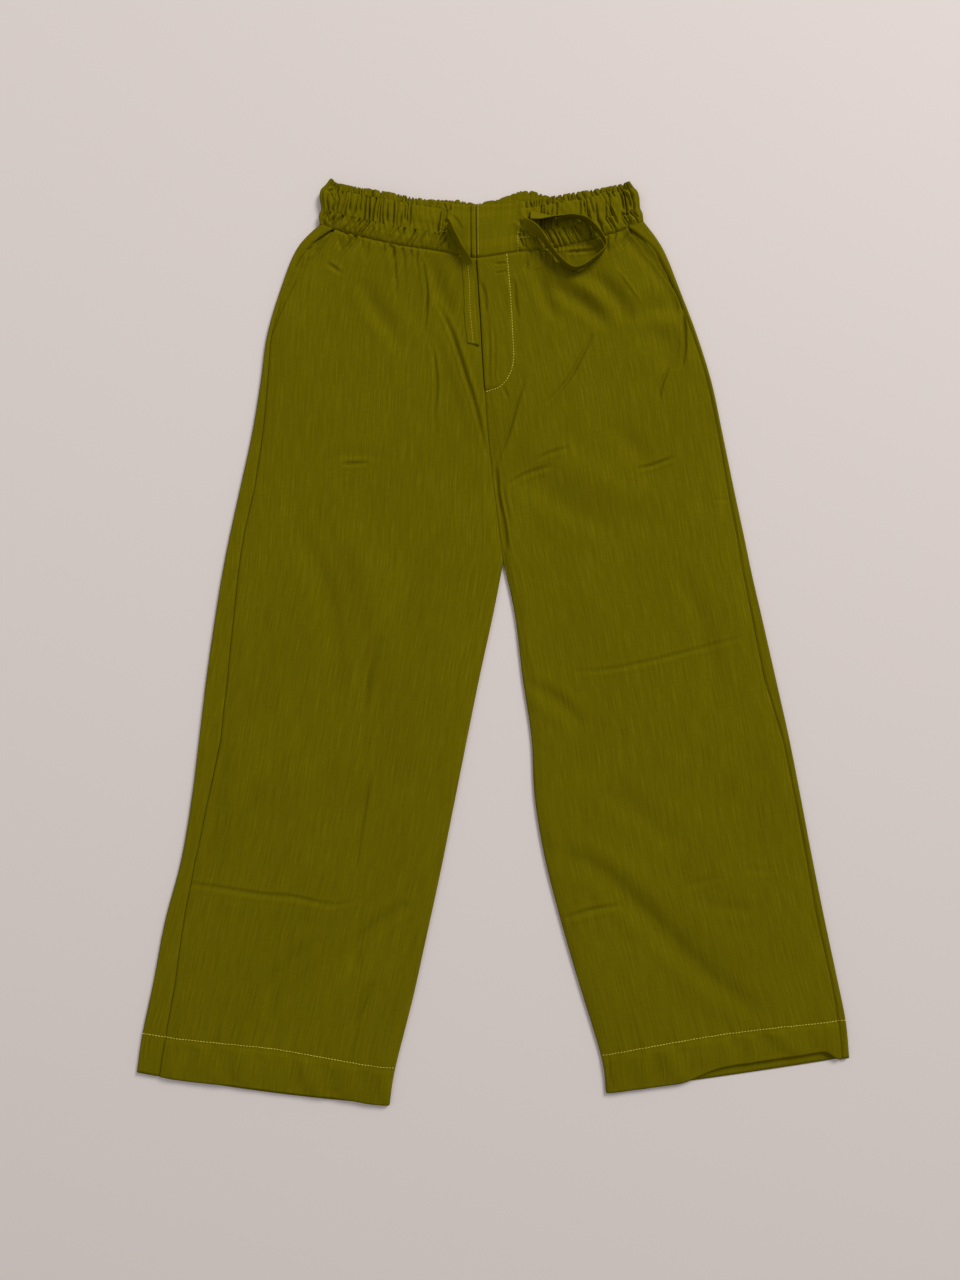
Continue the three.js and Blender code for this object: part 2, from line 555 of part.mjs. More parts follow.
// The back waistband: flat underneath, wrapping over both sides up to the side seams. Its
// lengthways parts are the right strip and curl, the flat back, and the left curl and strip.
function backBand() {
  const seamSpan = (from, to) => Math.abs(bandSeam(to).x - bandSeam(from).x);
  const rows = BAND_ROWS.map((row) => {
    const top = BAND_HEIGHT + row.lift;
    const radius = top / 2;
    const inside = radius - BACK_BAND;
    const ruffled = row.up > 0.8;
    const outer = [];
    const inner = [];
    const keys = [];
    const add = (key, place, height, innerPlace, innerHeight, rise = 0) => {
      const lifted = { ...row, up: row.up + (row.up === 1 ? rise : 0) };
      outer.push(bandPoint(place, lifted, height));
      inner.push(bandPoint(innerPlace, lifted, innerHeight));
      keys.push(key);
    };
    const wrapAt = (edge, seam) => {
      const inward = Math.sign(seam - edge);
      const perPlace = seamSpan(edge, seam);
      const strip = [1, 0.5].map((share) => () => {
        const place = lerp(edge, seam - 0.012 * inward, share);
        const height = top - row.wave * (share === 1 ? 0.4 : -0.5);
        return [place, height, place, height - FRONT_BAND];
      });
      const curl = [4, 3, 2, 1, 0].map((k) => () => {
        const angle = (Math.PI * k) / 4;
        const [out, up] = [Math.sin(angle), Math.cos(angle)];
        const placeOf = (r) => edge + (inward * (radius - r * out)) / perPlace;
        return [placeOf(radius), radius - radius * up, placeOf(inside), radius - inside * up];
      });
      return [...strip, ...curl];
    };
    const rightWrap = wrapAt(BAND_AT.rightEdge, BAND_AT.rightSeam);
    const leftWrap = wrapAt(BAND_AT.leftEdge, BAND_AT.leftSeam).reverse();
    rightWrap.forEach((make, i) => add(i / rightWrap.length, ...make()));
    const steps = ruffled ? 2 * BAND_GATHERS.back : 24;
    for (let k = 1; k < steps; k += 1) {
      const place = lerp(0.5, 11.5, k / steps);
      const ridge = ruffled ? wave(k / 2) : 0;
      add(1 + k / steps, place, 0, place, BACK_BAND + 0.4 * ridge, backPeek(place) / 48 + 0.012 * ridge);
    }
    leftWrap.forEach((make, i) => add(2 + (i + 1) / leftWrap.length, ...make()));
    return { outer, inner, keys };
  });
  return wallOf(rows);
}

// A flat tie along a route, rolled about its own line at each point.
function tie(route) {
  const points = route.map(({ x, y, floor, turn }) => {
    const roll = THREE.MathUtils.degToRad(turn);
    const halfHeight = 0.5 * (TIE_WIDTH * Math.sin(roll) + TIE_THICK * Math.cos(roll));
    return new THREE.Vector3(x, y, floor + LAP_GAP + halfHeight);
  });
  const line = new THREE.CatmullRomCurve3(points, false, "centripetal");
  const steps = 2 * (route.length - 1);
  const up = new THREE.Vector3(0, 0, 1);
  const section = [
    [-0.5, 0.25], [-0.42, 0.5], [0.42, 0.5], [0.5, 0.25], [0.5, -0.25], [0.42, -0.5], [-0.42, -0.5], [-0.5, -0.25],
  ];
  const rings = [];
  for (let k = 0; k <= steps; k += 1) {
    const share = k / steps;
    const centre = line.getPoint(share);
    const along = line.getTangent(share);
    const turn = THREE.MathUtils.degToRad(between(column(route, "turn"), share * (route.length - 1)));
    const across = along.clone().cross(up).normalize().applyAxisAngle(along, turn);
    const face = across.clone().cross(along).normalize();
    rings.push(section.map(([w, t]) => centre.clone().addScaledVector(across, w * TIE_WIDTH).addScaledVector(face, t * TIE_THICK)));
  }
  const triangles = [];
  for (let r = 0; r + 1 < rings.length; r += 1) {
    zip([...rings[r], rings[r][0]], [...rings[r + 1], rings[r + 1][0]], triangles);
  }
  const cap = (ring) => {
    for (let i = 1; i + 1 < ring.length; i += 1) {
      triangles.push([ring[0], ring[i], ring[i + 1]]);
    }
  };
  cap([...rings[0]].reverse());
  cap(rings[rings.length - 1]);
  return solidFrom(triangles);
}

const right = layoutOf("right");
const left = layoutOf("left");

// The back hem shows below the front one where the front's hem lies a little higher.
const hemShortRight = (share) => 3 * smooth(share, 0.15, 0.4) * (1 - smooth(share, 0.8, 0.95));
const hemShortLeft = (share) => 11 * smooth(share, 0.035, 0.11) * (1 - smooth(share, 0.5, 0.72));

const pants = new THREE.Group();
function add(name, geometry) {
  const mesh = new THREE.Mesh(geometry, clothLook(OLIVE));
  mesh.name = name;
  pants.add(mesh);
}

add("back_right", backPanel(right));
add("back_left", backPanel(left));
add("front_right", frontPanel(right, hemShortRight));
add("front_left", frontPanel(left, hemShortLeft));
add("pocket_facing_right", pocketFacing(right));
add("pocket_facing_left", pocketFacing(left));
add("fly_placket", flyPlacket(left));
add("waistband_back", backBand());
add("waistband_front_right", frontBand(BAND_AT.rightSeam, BAND_AT.rightElastic, BAND_AT.centre, BAND_GATHERS.right));
add("waistband_front_left", frontBand(BAND_AT.leftSeam, BAND_AT.leftElastic, BAND_AT.centre, BAND_GATHERS.left));
for (const [name, route] of Object.entries(TIES)) {
  add(name, tie(route));
}

// The frame's origin lies on the surface, under the middle of the garment's box.
const box = new THREE.Box3().setFromObject(pants);
const middle = box.getCenter(new THREE.Vector3());
pants.position.set(-middle.x, -middle.y, -box.min.z);

export default pants;
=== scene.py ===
# Palazzo pants laid flat on their back, front up: wide straight legs in olive cotton, slanted
# pockets, a mock fly with a J of topstitching, and a waistband that is plain at the middle and
# gathered over elastic at the sides, with the two flat ends of its drawstring.
# Lengths in the tables are in millimetres. The waist points to +Y, the floor is z = 0, and the
# wearer's right leg lies on the -X side.
import math

import bpy
import numpy as np
from bpy.props import FloatProperty, FloatVectorProperty, IntProperty, PointerProperty
from bpy.types import Operator, Panel, PropertyGroup
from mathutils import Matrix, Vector
from mathutils.bvhtree import BVHTree


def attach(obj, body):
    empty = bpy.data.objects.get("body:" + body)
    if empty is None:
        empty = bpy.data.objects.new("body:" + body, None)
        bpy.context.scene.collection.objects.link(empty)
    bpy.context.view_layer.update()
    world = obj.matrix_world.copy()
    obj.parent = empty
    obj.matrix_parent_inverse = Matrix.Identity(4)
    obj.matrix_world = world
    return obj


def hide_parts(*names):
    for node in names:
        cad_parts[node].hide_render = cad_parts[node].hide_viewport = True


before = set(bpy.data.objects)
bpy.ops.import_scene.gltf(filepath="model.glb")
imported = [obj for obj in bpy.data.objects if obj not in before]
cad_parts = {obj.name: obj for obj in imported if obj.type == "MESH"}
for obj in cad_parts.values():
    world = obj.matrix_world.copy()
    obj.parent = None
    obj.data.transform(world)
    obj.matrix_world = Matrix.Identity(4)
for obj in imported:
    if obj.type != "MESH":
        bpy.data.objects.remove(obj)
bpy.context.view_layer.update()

bl_info = {
    "name": "Palazzo pants",
    "version": (1, 0, 0),
    "blender": (4, 5, 0),
    "location": "View3D > Sidebar > Pants",
    "description": "Builds a pair of palazzo pants laid flat, piece by piece",
    "category": "Object",
}

MM = 0.001

SIDES = ("right", "left")

# Cloth and seams
CLOTH = 1.2
SEAM_GAP = 0.06
SEAM_ROLL = 1.3
LAP_GAP = 0.35
HEM_DEPTH = 38
HEM_DOUBLE = 0.8
HEM_BOW = {"right": 0.1, "left": 0.04}
# How far the front's hem lies above the back's: how much, and between which shares of the leg's
# width it grows and dies away
HEM_SHORT = {"right": (3, 0.15, 0.4, 0.8, 0.95), "left": (11, 0.035, 0.11, 0.5, 0.72)}
INSEAM_ROUND = 7
RIPPLE_LENGTH = 34
FLY_WIDTH = 33
FLY_TIP = 3
FLY_LENGTH = 139
FLY_STRAIGHT = 0.72
# Where the fly's J of stitching meets the front seam
J_END = (-6.4, 262.6)
POCKET_TUCK = 8

# The waistband's own measures. Its height is how high its face lies, and its depth how far it
# reaches from the waist seam to the top edge.
BAND_HEIGHT = 7
BAND_DEPTH = 52
BAND_WALL = 2.4
FRONT_BAND_WALL = 1.6
BACK_BAND_WALL = 3.0
FULLNESS = 1.6
SIDE_PUFF = {"right": 1.0, "left": 0.6}

# Rows down and columns across of the pieces' grids of points. The back panels and the back band
# have columns underneath, round an outer edge, and over it up to the side seam.
FRONT_GRID = (4 * 136 + 1, 4 * 40 + 1)
BACK_ROWS, BACK_UNDER, BACK_ROUND, BACK_OVER = 321, 61, 14, 15
FACING_GRID = (109, 33)
FLY_GRID = (161, 49)
BAND_GRID = (97, 321)
BACK_BAND_ROWS, BACK_BAND_UNDER, BACK_BAND_ROUND, BACK_BAND_OVER = 81, 300, 16, 26
# How many times closer the panels' rows lie at the waist than on the legs
CLOSER_FRONT = 2.3
CLOSER_BACK = 1.6
# The sections that a pocket facing reaches from and to
FACING_REACH = (0.1, 3.0)

# The body from the waist seam to the crotch: the outer edges, the front seam, how far a section
# sags below its chord on each side, and the height of the upper layer.
TORSO_COLUMNS = (
    "right_x", "right_y", "centre_x", "centre_y", "left_x", "left_y", "right_bow", "left_bow", "lie"
)
TORSO = (
    (-181.3, 437.3, -17.5, 401.5, 157.3, 440.7, 4.5, 8, 6.3),
    (-205, 412.5, -15.8, 383, 178, 411.5, 3, 5, 5.4),
    (-222, 371, -13.2, 345, 197.5, 364, 0, 0, 4.8),
    (-236.5, 322, -11, 305, 213.5, 322, 0, 0, 4.4),
    (-243.5, 272, -8.4, 262.7, 229, 272, 0, 0, 4.2),
    (-252.5, 218, -5, 215, 240.5, 218, 0, 0, 4.2),
    (-264.5, 163, 0.8, 163, 251.8, 163, 0, 0, 4.2),
    (-275.5, 113, 6.3, 119, 262.5, 113, 0, 0, 4.2),
    (-283.5, 72, 10.8, 84.2, 271, 72, 0, 0, 4.2),
)

# The legs from the thigh to the hem edge, a row for each section.
LEG_COLUMNS = ("outer_x", "outer_y", "inner_x", "inner_y", "bow")
LEGS = {
    "right": (
        (-291.5, 23, 0.3, 30, 0),
        (-300.5, -40, -14.5, -38, 0),
        (-308, -102.7, -28, -105, 0),
        (-316, -166, -41.3, -172, 0),
        (-326.8, -228.7, -54.5, -238, 0),
        (-343.5, -292, -69, -305, 0),
        (-355.5, -355, -83.8, -372, 2),
        (-367.2, -410, -102.6, -447, 3),
        (-373, -449.5, -108.4, -484.3, 4),
    ),
    "left": (
        (282.3, 23, 22.8, 30, 0),
        (296.2, -38, 31.2, -38, 0),
        (310.6, -102.7, 40.3, -100, 0),
        (323, -166, 43.9, -163, 0),
        (334.2, -225, 54.2, -225, 0),
        (346.6, -287, 69.8, -287, 0),
        (360, -350, 88, -350, 1),
        (369.3, -396, 113.4, -434, -2),
        (373, -434.5, 118.5, -471.5, 1),
    ),
}
CROTCH = len(TORSO) - 1
HEM_EDGE = CROTCH + len(LEGS["right"])
HEM_STITCHING = HEM_EDGE - 1

# How far in from the outer edge the side seam lies at each section, and the pocket's mouth at the
# first three. Below the mouth the front's own edge follows the side seam.
SIDE_SEAM = {
    "right": (13.5, 9, 5.5, 4.6, 7, 11, 15, 14.5, 16.5, 19.5, 22, 22.5, 17, 14.5, 19.5, 22.5, 24.5, 24),
    "left": (15.5, 8, 4.6, 4.6, 4.6, 4.6, 6.5, 7.5, 9, 10.5, 12, 7, 6.3, 6.3, 7.5, 7, 8, 8),
}
POCKET_MOUTH = {"right": (17, 25, 13.5), "left": (18, 20, 6.5)}
SIDE_SEAM_WIDTH = 0.3
FRONT_EDGE = {
    side: POCKET_MOUTH[side] + tuple(round(inset + SIDE_SEAM_WIDTH, 1) for inset in SIDE_SEAM[side][3:])
    for side in SIDE_SEAM
}

# The waistband from its right side edge to its left one: the waist seam and the top edge.
BAND_COLUMNS = ("seam_x", "seam_y", "top_x", "top_y")
BAND = (
    (-181.3, 437.3, -170.7, 484.3),
    (-167.3, 431.5, -160, 477.5),
    (-145, 425.3, -142, 474),
    (-106.3, 416, -107, 468),
    (-75, 411.2, -76, 461.8),
    (-45, 406.2, -44, 457.6),
    (-17.5, 401.5, -18, 456.4),
    (24, 407.3, 27, 458.4),
    (55, 411, 54, 462.6),
    (86.4, 416.2, 82, 467.6),
    (115.3, 424, 112, 472.4),
    (141.8, 432.9, 134, 477),
    (157.3, 440.7, 143.6, 480.6),
)
RIGHT_EDGE, RIGHT_SEAM, RIGHT_ELASTIC, CENTRE, LEFT_ELASTIC, LEFT_SEAM, LEFT_EDGE = 0, 1, 5, 6, 7, 11, 12

# Across the waistband from the waist seam up: how far the side edges swell and the band lifts.
BAND_UP = (0, 0.18, 0.35, 0.6, 0.76, 0.87, 1)
BAND_PUFF = (0, 2.6, 2.2, 6.4, 6.8, 3.2, 0)
BAND_LIFT = (-0.3, 0.3, -0.4, 0.4, 0.3, -0.4, -0.1)
# The two rows of stitching, as shares up the band, and the width of the grooves they lie in
LOWER_STITCHING = 0.36
UPPER_STITCHING = 0.87
GROOVE = 0.936

# How far the back waistband's top edge stands above the front one, for so deep a band
PEEK_DEPTH = 48
PEEK_AT = (3.8, 4.4, 5.3, 6, 6.5, 7, 7.5, 8.2, 8.8)
PEEK_RISE = (-1.5, 3, 5, 1.8, 5, 12.5, 10.5, 2, -1.5)

# The drawstring's ends, as x, y, floor and turn. floor is the height of what they lie on, and turn
# is how far the tie is rolled out of flat, in degrees. A tie has so many points round it, and so
# many rings of them for each row.
TIE_THICK = 1.6
TIE_ROUND = 28
TIE_RINGS = 9
RIGHT_TIE = (
    (-46.5, 434.5, 7.6, 74),
    (-40, 422, 7.5, 78),
    (-33.5, 409, 7, 75),
    (-28.8, 399.5, 6.6, 52),
    (-26.2, 391, 6.1, 16),
    (-24.8, 376, 5.5, 0),
    (-24.4, 358, 5.1, 0),
    (-23.4, 340, 4.9, 0),
    (-22, 324, 4.8, 0),
    (-20.6, 311.5, 4.7, 0),
)
LEFT_TIE = (
    (30, 434, 8.1, 28),
    (39, 430.5, 8.3, 50),
    (48.3, 423, 8.3, 72),
    (57, 411.5, 7.9, 84),
    (66, 400.5, 7.5, 88),
    (75, 391.7, 7.3, 90),
    (84.5, 387.2, 7.2, 90),
    (95.5, 391, 7.2, 90),
    (105.5, 398.4, 7.3, 90),
    (113.5, 405.3, 7.5, 90),
    (116.8, 413, 7.7, 90),
    (111.5, 422.5, 8.3, 90),
    (103.5, 432, 8.5, 90),
    (94, 438.6, 8.5, 89),
    (80, 441.2, 8.5, 86),
    (64, 441, 8.5, 72),
    (50, 441.6, 8.4, 45),
    (38.5, 443.5, 8.3, 28),
)

# Creases: name, height (below 0 it sinks), its widths left and right of the line as one walks
# along it, and the line's points. One marked SEAM starts full at the waist seam, and the others
# fade in and out.
SEAM = "starts at the seam"
RIGHT_CREASES = (
    ("thigh nick", -2.7, 1.5, 1.7, ((-159, 186), (-145, 187), (-130, 188))),
    ("hollow over the nick", -0.7, 7, 3, ((-182, 185), (-155, 195), (-113, 193))),
    ("hip hollow", -2.5, 9, 7, ((-138, 379), (-125, 351), (-106, 324), (-102, 305))),
    ("first seam pleat", -2.8, 1.7, 2.6, ((-105, 412), (-103, 393), (-100, 355)), SEAM),
    ("second seam pleat", -1.4, 1.4, 2.0, ((-94, 410), (-93, 395), (-92, 376)), SEAM),
    ("third seam pleat", -1.2, 1.3, 1.8, ((-86, 408), (-85, 389)), SEAM),
    ("fourth seam pleat", -2.0, 1.5, 2.0, ((-79, 410), (-80, 400), (-78, 384)), SEAM),
    ("long thin pleat", -2.6, 1.5, 1.8, ((-74, 400), (-69, 364), (-72, 324))),
    ("low thin crease", -2.3, 1.5, 1.9, ((-64, 313), (-59, 271), (-63, 227))),
    ("hollow beside the fly", -2.3, 8, 6, ((-68, 404), (-58, 372), (-43, 339))),
    ("fly fold", -3.3, 2.8, 1.5,
     ((-58, 353), (-46, 328), (-37, 303), (-31, 283), (-23, 258), (-16, 232), (-8, 196))),
    ("fly fold's back", 1.0, 9, 5, ((-68, 341), (-47, 305), (-33, 263), (-18, 206))),
    ("pocket pleat", -3.4, 1.7, 2.6, ((-143, 423), (-153, 411), (-165, 395)), SEAM),
    ("pocket pleat's foot", -1.2, 1.8, 2.4, ((-174, 396), (-166, 391), (-158, 385))),
    ("small seam pleat", -1.4, 1.5, 1.5, ((-153, 428), (-151, 419)), SEAM),
    ("small seam pleat", -1.7, 1.5, 1.8, ((-136, 423), (-141, 413)), SEAM),
    ("small seam pleat", -1.3, 1.3, 1.5, ((-125, 421), (-126, 412)), SEAM),
    ("small seam pleat", -1.6, 1.4, 1.6, ((-114, 416), (-113, 404)), SEAM),
    ("small seam pleat", -1.9, 1.4, 1.6, ((-108, 414), (-110, 400)), SEAM),
    ("thigh drape", -1.9, 8, 12, ((-211, 129), (-171, 45), (-163, -60))),
    ("thigh swell", 2.0, 18, 16, ((-171, 150), (-127, 55), (-106, -50))),
    ("knee hollow", -2.6, 5, 7, ((-113, 5), (-131, -28), (-136, -73))),
    ("knee line", -2, 2.4, 3.4, ((-128, -123), (-136, -181), (-145, -237))),
    ("shin cross crease", -1.4, 1.9, 2.6,
     ((-339, -259), (-312, -253), (-246, -263), (-210, -266), (-166, -274), (-138, -267))),
    ("under the cross crease", 0.4, 7, 8, ((-318, -269), (-243, -277), (-161, -285))),
    ("ankle hollow", -2.6, 5, 8, ((-180, -308), (-210, -338), (-228, -363), (-234, -398))),
    ("inner shin hollow", -3, 5, 7, ((-89, -272), (-122, -298), (-141, -320), (-145, -346))),
    ("ankle crease", -2.6, 3.5, 5, ((-124, -355), (-136, -374), (-150, -405))),
    ("outer shin drape", -1.8, 9, 9, ((-280, -102), (-293, -197), (-299, -249))),
    ("calf swell", 1.6, 14, 14, ((-203, -123), (-207, -197), (-243, -239))),
)
LEFT_CREASES = (
    ("long thin fold", -2.6, 2.2, 1.5, ((33, 278), (23, 246), (14, 215), (-1, 181))),
    ("fly foot crease", -1.2, 1.6, 1.6, ((10, 268), (15, 255))),
    ("crotch fold", -5.0, 2.0, 2.6, ((2.4, 183), (5.2, 154), (11.2, 124), (14.2, 96))),
    ("second crotch fold", -1.8, 1.8, 1.8, ((9, 168), (12.5, 146), (18, 118))),
    ("hollow beside the stitching", -2.8, 6, 6, ((47, 391), (52, 368), (64, 337))),
    ("hip hollow", -2.6, 9, 7, ((62, 374), (93, 355), (125, 328))),
    ("hip roll", 2.8, 8, 9, ((60, 391), (93, 370), (125, 346))),
    ("second hip hollow", -3.3, 8, 8, ((106, 385), (131, 355), (144, 333))),
    ("hip cross hollow", -2.0, 10, 8, ((140, 337), (165, 348), (198, 347))),
    ("side hollow", -1.7, 10, 12, ((154, 328), (180, 313), (188, 284))),
    ("thin line", -2.9, 1.6, 2.4, ((104, 322), (81, 278), (58, 250))),
    ("side line", -2.7, 1.5, 2.1, ((184, 287), (176, 269), (174, 253))),
    ("ridge line", 1.0, 1.4, 1.6, ((130, 389), (143, 372), (155, 355))),
    ("seat line", -1.8, 1.5, 2.4, ((45, 191), (60, 198), (79, 204))),
    ("second seat line", -2.0, 1.4, 2.4, ((16, 165), (33, 176), (62, 185))),
    ("thigh nick", -2.9, 1.5, 1.8, ((150, 181), (169, 186), (190, 194))),
    ("broad seat hollow", -1.8, 12, 10, ((12, 178), (49, 160), (84, 138), (140, 108))),
    ("seat swell", 1.7, 15, 13, ((28, 213), (102, 173), (186, 137))),
    ("high thigh hollow", -1.5, 9, 10, ((125, 229), (146, 206), (165, 190))),
    ("knee line", -1.4, 1.5, 2.4, ((83, -30), (127, -27), (201, -10), (264, 7))),
    ("inseam hollow", -1.8, 6, 8, ((35, -41), (68, -61), (96, -90))),
    ("knee hollow", -1.6, 12, 11, ((112, -154), (156, -183), (205, -223))),
    ("shin hollow", -2.3, 9, 10,
     ((55, -214), (112, -238), (149, -275), (193, -319), (237, -360), (293, -394))),
    ("shin swell", 1.8, 16, 14, ((77, -205), (154, -245), (217, -298), (280, -354))),
    ("inner shin line", -1.6, 2.0, 3, ((72, -289), (105, -279), (135, -274))),
    ("outer shin line", -0.6, 3.5, 3.5, ((198, -256), (237, -245))),
    ("outer shin line", -0.5, 3.5, 3.5, ((259, -239), (299, -237))),
    ("low shin hollow", -0.8, 6, 6, ((219, -274), (249, -278), (280, -279))),
    ("pleat under the tie", -2.0, 2.0, 3.0, ((40, 408), (35, 395), (25, 382)), SEAM),
    ("pleat by the stitching", -1.9, 1.8, 3.4, ((22, 379), (23, 360), (26, 337))),
    ("small seam pleat", -1.6, 1.4, 1.7, ((66, 412), (65, 400), (65, 387)), SEAM),
    ("small seam pleat", -1.4, 1.4, 1.7, ((52, 410), (51, 395)), SEAM),
    ("seam tuck", -1.7, 1.4, 1.8, ((62, 411), (87, 414), (112, 419))),
    ("second seam tuck", -1.4, 1.4, 1.6, ((75, 407), (96, 408), (112, 411))),
    ("corner fold", -3.0, 2.4, 3.0, ((145, 427), (134, 415), (122, 406)), SEAM),
    ("small seam pleat", -1.6, 1.4, 1.7, ((127, 426), (125, 416)), SEAM),
    ("small seam pleat", -1.4, 1.4, 1.6, ((100, 419), (101, 406)), SEAM),
    ("long side line", -2.8, 1.7, 2.1, ((197, 360), (200, 328), (200, 304), (196, 285))),
    ("side nick", -0.6, 1.4, 1.8, ((229, 149), (250, 149))),
    ("calf nick", -0.6, 1.3, 1.6, ((324, -229), (339, -229))),
    ("hem corner line", -1.4, 1.2, 1.6, ((121, -430), (121.5, -446), (122, -462))),
    ("outer thigh drape", -1.6, 9, 9, ((188, 87), (217, 24), (234, -60))),
)
FLY_CREASES = (
    ("hollow by the fold", -1.6, 1.8, 2.6, ((-13, 376), (-9, 362), (-8, 343))),
    ("fly line", -0.9, 1.2, 1.4, ((1, 326), (2, 297), (1, 269))),
    ("fly line", -0.7, 1.2, 1.4, ((-5, 337), (-4, 305), (-5, 276))),
    ("seam dash", -1.2, 1.3, 1.3, ((1, 394), (16, 395))),
    ("seam dash", -1.0, 1.3, 1.3, ((2, 384), (17, 387))),
)
CREASES = {"right": RIGHT_CREASES, "left": LEFT_CREASES}
SEEDS = {"right": 41, "left": 57, "band": 73}

BAND_CREASES = {
    "right": (
        ("string slit", -2.2, 1.4, 2.2, ((-50, 441), (-46, 436), (-44, 430))),
        ("stitch end", -0.9, 1.1, 1.1, ((-58, 429), (-53, 428), (-47, 428))),
        ("pull from the slit", -0.8, 1.6, 3.0, ((-44, 446), (-38, 440), (-33, 430))),
        ("side ruck", -1.0, 0.9, 1.2, ((-169.5, 470), (-167.4, 463))),
        ("side ruck", -1.2, 0.9, 1.2, ((-166, 471), (-163.8, 463))),
        ("side fold", -1.8, 1.1, 1.6, ((-161, 475), (-162.4, 468), (-161, 461), (-163.8, 452))),
        ("side fold", -1.9, 1.0, 1.5, ((-164.7, 457), (-168.5, 450), (-171.8, 444), (-171, 437))),
        ("side ruck", -1.7, 0.9, 1.3, ((-159.5, 448), (-164.7, 443), (-171.4, 437))),
        ("side ruck", -1.2, 1.0, 1.2, ((-170.4, 454), (-173.3, 448), (-174.5, 442))),
        ("side ruck", -1.6, 0.9, 1.3, ((-156.2, 445), (-163.8, 437), (-167, 433))),
        ("side ridge", 0.9, 1.1, 1.1, ((-161, 445.6), (-166.6, 440))),
        ("header pucker", -1.1, 1.0, 1.6, ((-175, 472), (-168.5, 471), (-163.8, 472))),
    ),
    "left": (
        ("string slit", -2.2, 1.4, 2.2, ((27, 441), (29, 436), (33, 432))),
        ("pull from the slit", -0.8, 1.8, 3.0, ((36, 428), (40, 420), (41, 412))),
        ("side fold", -2.4, 1.4, 1.1, ((131, 474), (135.7, 468), (140, 464), (142.4, 457), (144, 448))),
        ("side ridge", 1.0, 1.2, 1.2, ((135, 473), (141, 466), (145, 456))),
        ("side ruck", -1.6, 1.0, 1.0, ((133, 448), (137, 446), (141.5, 446), (144, 448))),
        ("long ruck", -1.9, 1.1, 1.2, ((117.6, 459.4), (122.4, 451.8), (127, 442), (130, 434))),
        ("short ruck", -1.4, 1.0, 1.1, ((122.4, 471), (127, 463))),
        ("short ruck", -1.3, 1.0, 1.1, ((112.8, 469), (116.6, 459))),
        ("side line", -1.2, 0.9, 1.0, ((143, 445), (142, 434))),
        ("side ruck", -1.0, 0.9, 1.0, ((145.3, 454), (147.4, 449.5))),
        ("short ruck", -1.3, 1.0, 1.0, ((91.8, 463), (96.6, 452))),
    ),
}

FACING_CREASES = {
    "right": (
        ("deep fold", -2.6, 1.5, 2.8, ((-197, 404), (-184, 420), (-170, 434))),
        ("second fold", -1.4, 1.2, 2.0, ((-206, 392), (-199, 404), (-190, 414))),
        ("mouth line", -2.4, 1.3, 2.4, ((-198, 405), (-202, 393), (-209, 377), (-216, 358))),
        ("cross ruck", -1.2, 1.0, 1.4, ((-197, 411), (-189, 413), (-182, 417))),
        ("ridge", 0.8, 1.4, 1.6, ((-186, 412), (-178, 422), (-171, 428))),
    ),
    "left": (
        ("deep fold", -2.4, 1.7, 2.2, ((156, 432), (166, 420), (176, 404))),
        ("second fold", -1.2, 1.3, 2.0, ((172, 418), (180, 402), (188, 388))),
    ),
}

# Softer creases on the underside of the back, pressed up by what it lay on
HIDDEN_CREASES = {
    "right": (
        ("seat", 0.8, 6, 9, ((-40, 300), (-90, 262), (-150, 246))),
        ("under the seat", 0.7, 3, 6, ((-30, 120), (-90, 98), (-160, 104))),
        ("thigh", 0.6, 7, 7, ((-150, 40), (-178, -40), (-170, -120))),
        ("knee", 0.8, 4, 7, ((-90, -170), (-170, -186), (-250, -176))),
        ("calf", 0.7, 8, 8, ((-250, -240), (-200, -320), (-190, -400))),
    ),
    "left": (
        ("seat", 0.8, 7, 8, ((44, 322), (96, 276), (168, 268))),
        ("under the seat", 0.7, 3, 6, ((52, 136), (112, 110), (184, 132))),
        ("thigh", 0.6, 7, 8, ((150, 60), (196, -20), (206, -110))),
        ("knee", 0.8, 4, 7, ((72, -212), (148, -216), (214, -186))),
        ("calf", 0.7, 8, 8, ((200, -250), (226, -320), (292, -400))),
    ),
}

# Rows of stitching: name, what they lie on, lift, pitch and width as shares of the usual ones, and
# their routes.
STITCHING = (
    ("middle_stitches", "band", 0.05, 0.9, 0.6, (((-15.8, 457.3), (-15.8, 431), (-15.4, 405.8)),)),
    ("slit_stitches", "band", 0.1, 0.9, 0.8, (
        ((25.7, 426.8), (25.8, 417.4), (26, 407.9)),
        ((25.2, 422.6), (30.5, 422.3), (36.8, 422.6)),
        ((-56.7, 428.9), (-52.5, 428.6), (-48.3, 428.9)),
    )),
    ("pocket_stitches", "panels", 0.1, 1, 0.9, (((167.5, 397.4), (171.7, 393.4), (176.4, 390.1)),)),
    ("tie_stitches", "tie", 0.0, 1, 0.6, (
        ((-26.2, 391), (-24.8, 376), (-24.4, 358), (-23.4, 340), (-22, 324), (-20.9, 314)),
    )),
)
STITCH_SHARE = 0.85
UNEVENNESS = 0.14

# The view is straight down from a metre up, through a phone's wide lens. Its place is in metres.
CAMERA_PLACE = (-0.01365, 0.0026, 1.009)
LENS = 27.03

# Soft studio light: name, place and size in metres, power in watts, and colour
LIGHTS = (
    ("window", (2.8, 3.6, 3.5), 2.3, 241, (1.0, 0.98, 0.96)),
    ("fill", (-1.8, 0.6, 2.2), 1.8, 9, (0.97, 0.98, 1.0)),
)
ROOM_COLOUR = (0.98, 0.97, 1.0)
ROOM_STRENGTH = 0.33
FLOOR_HALF = 1600
FLOOR_LEVEL = -0.4


# Numbers and curves


def smooth(x, low, high):
    t = np.clip((np.asarray(x, float) - low) / (high - low), 0, 1)
    return t * t * (3 - 2 * t)


def mix(a, b, t):
    return a + (b - a) * t


def hump(distance, width):
    """A soft rise to 1 at distance 0, gone at about twice the width."""
    return np.exp(-((distance / width) ** 2))


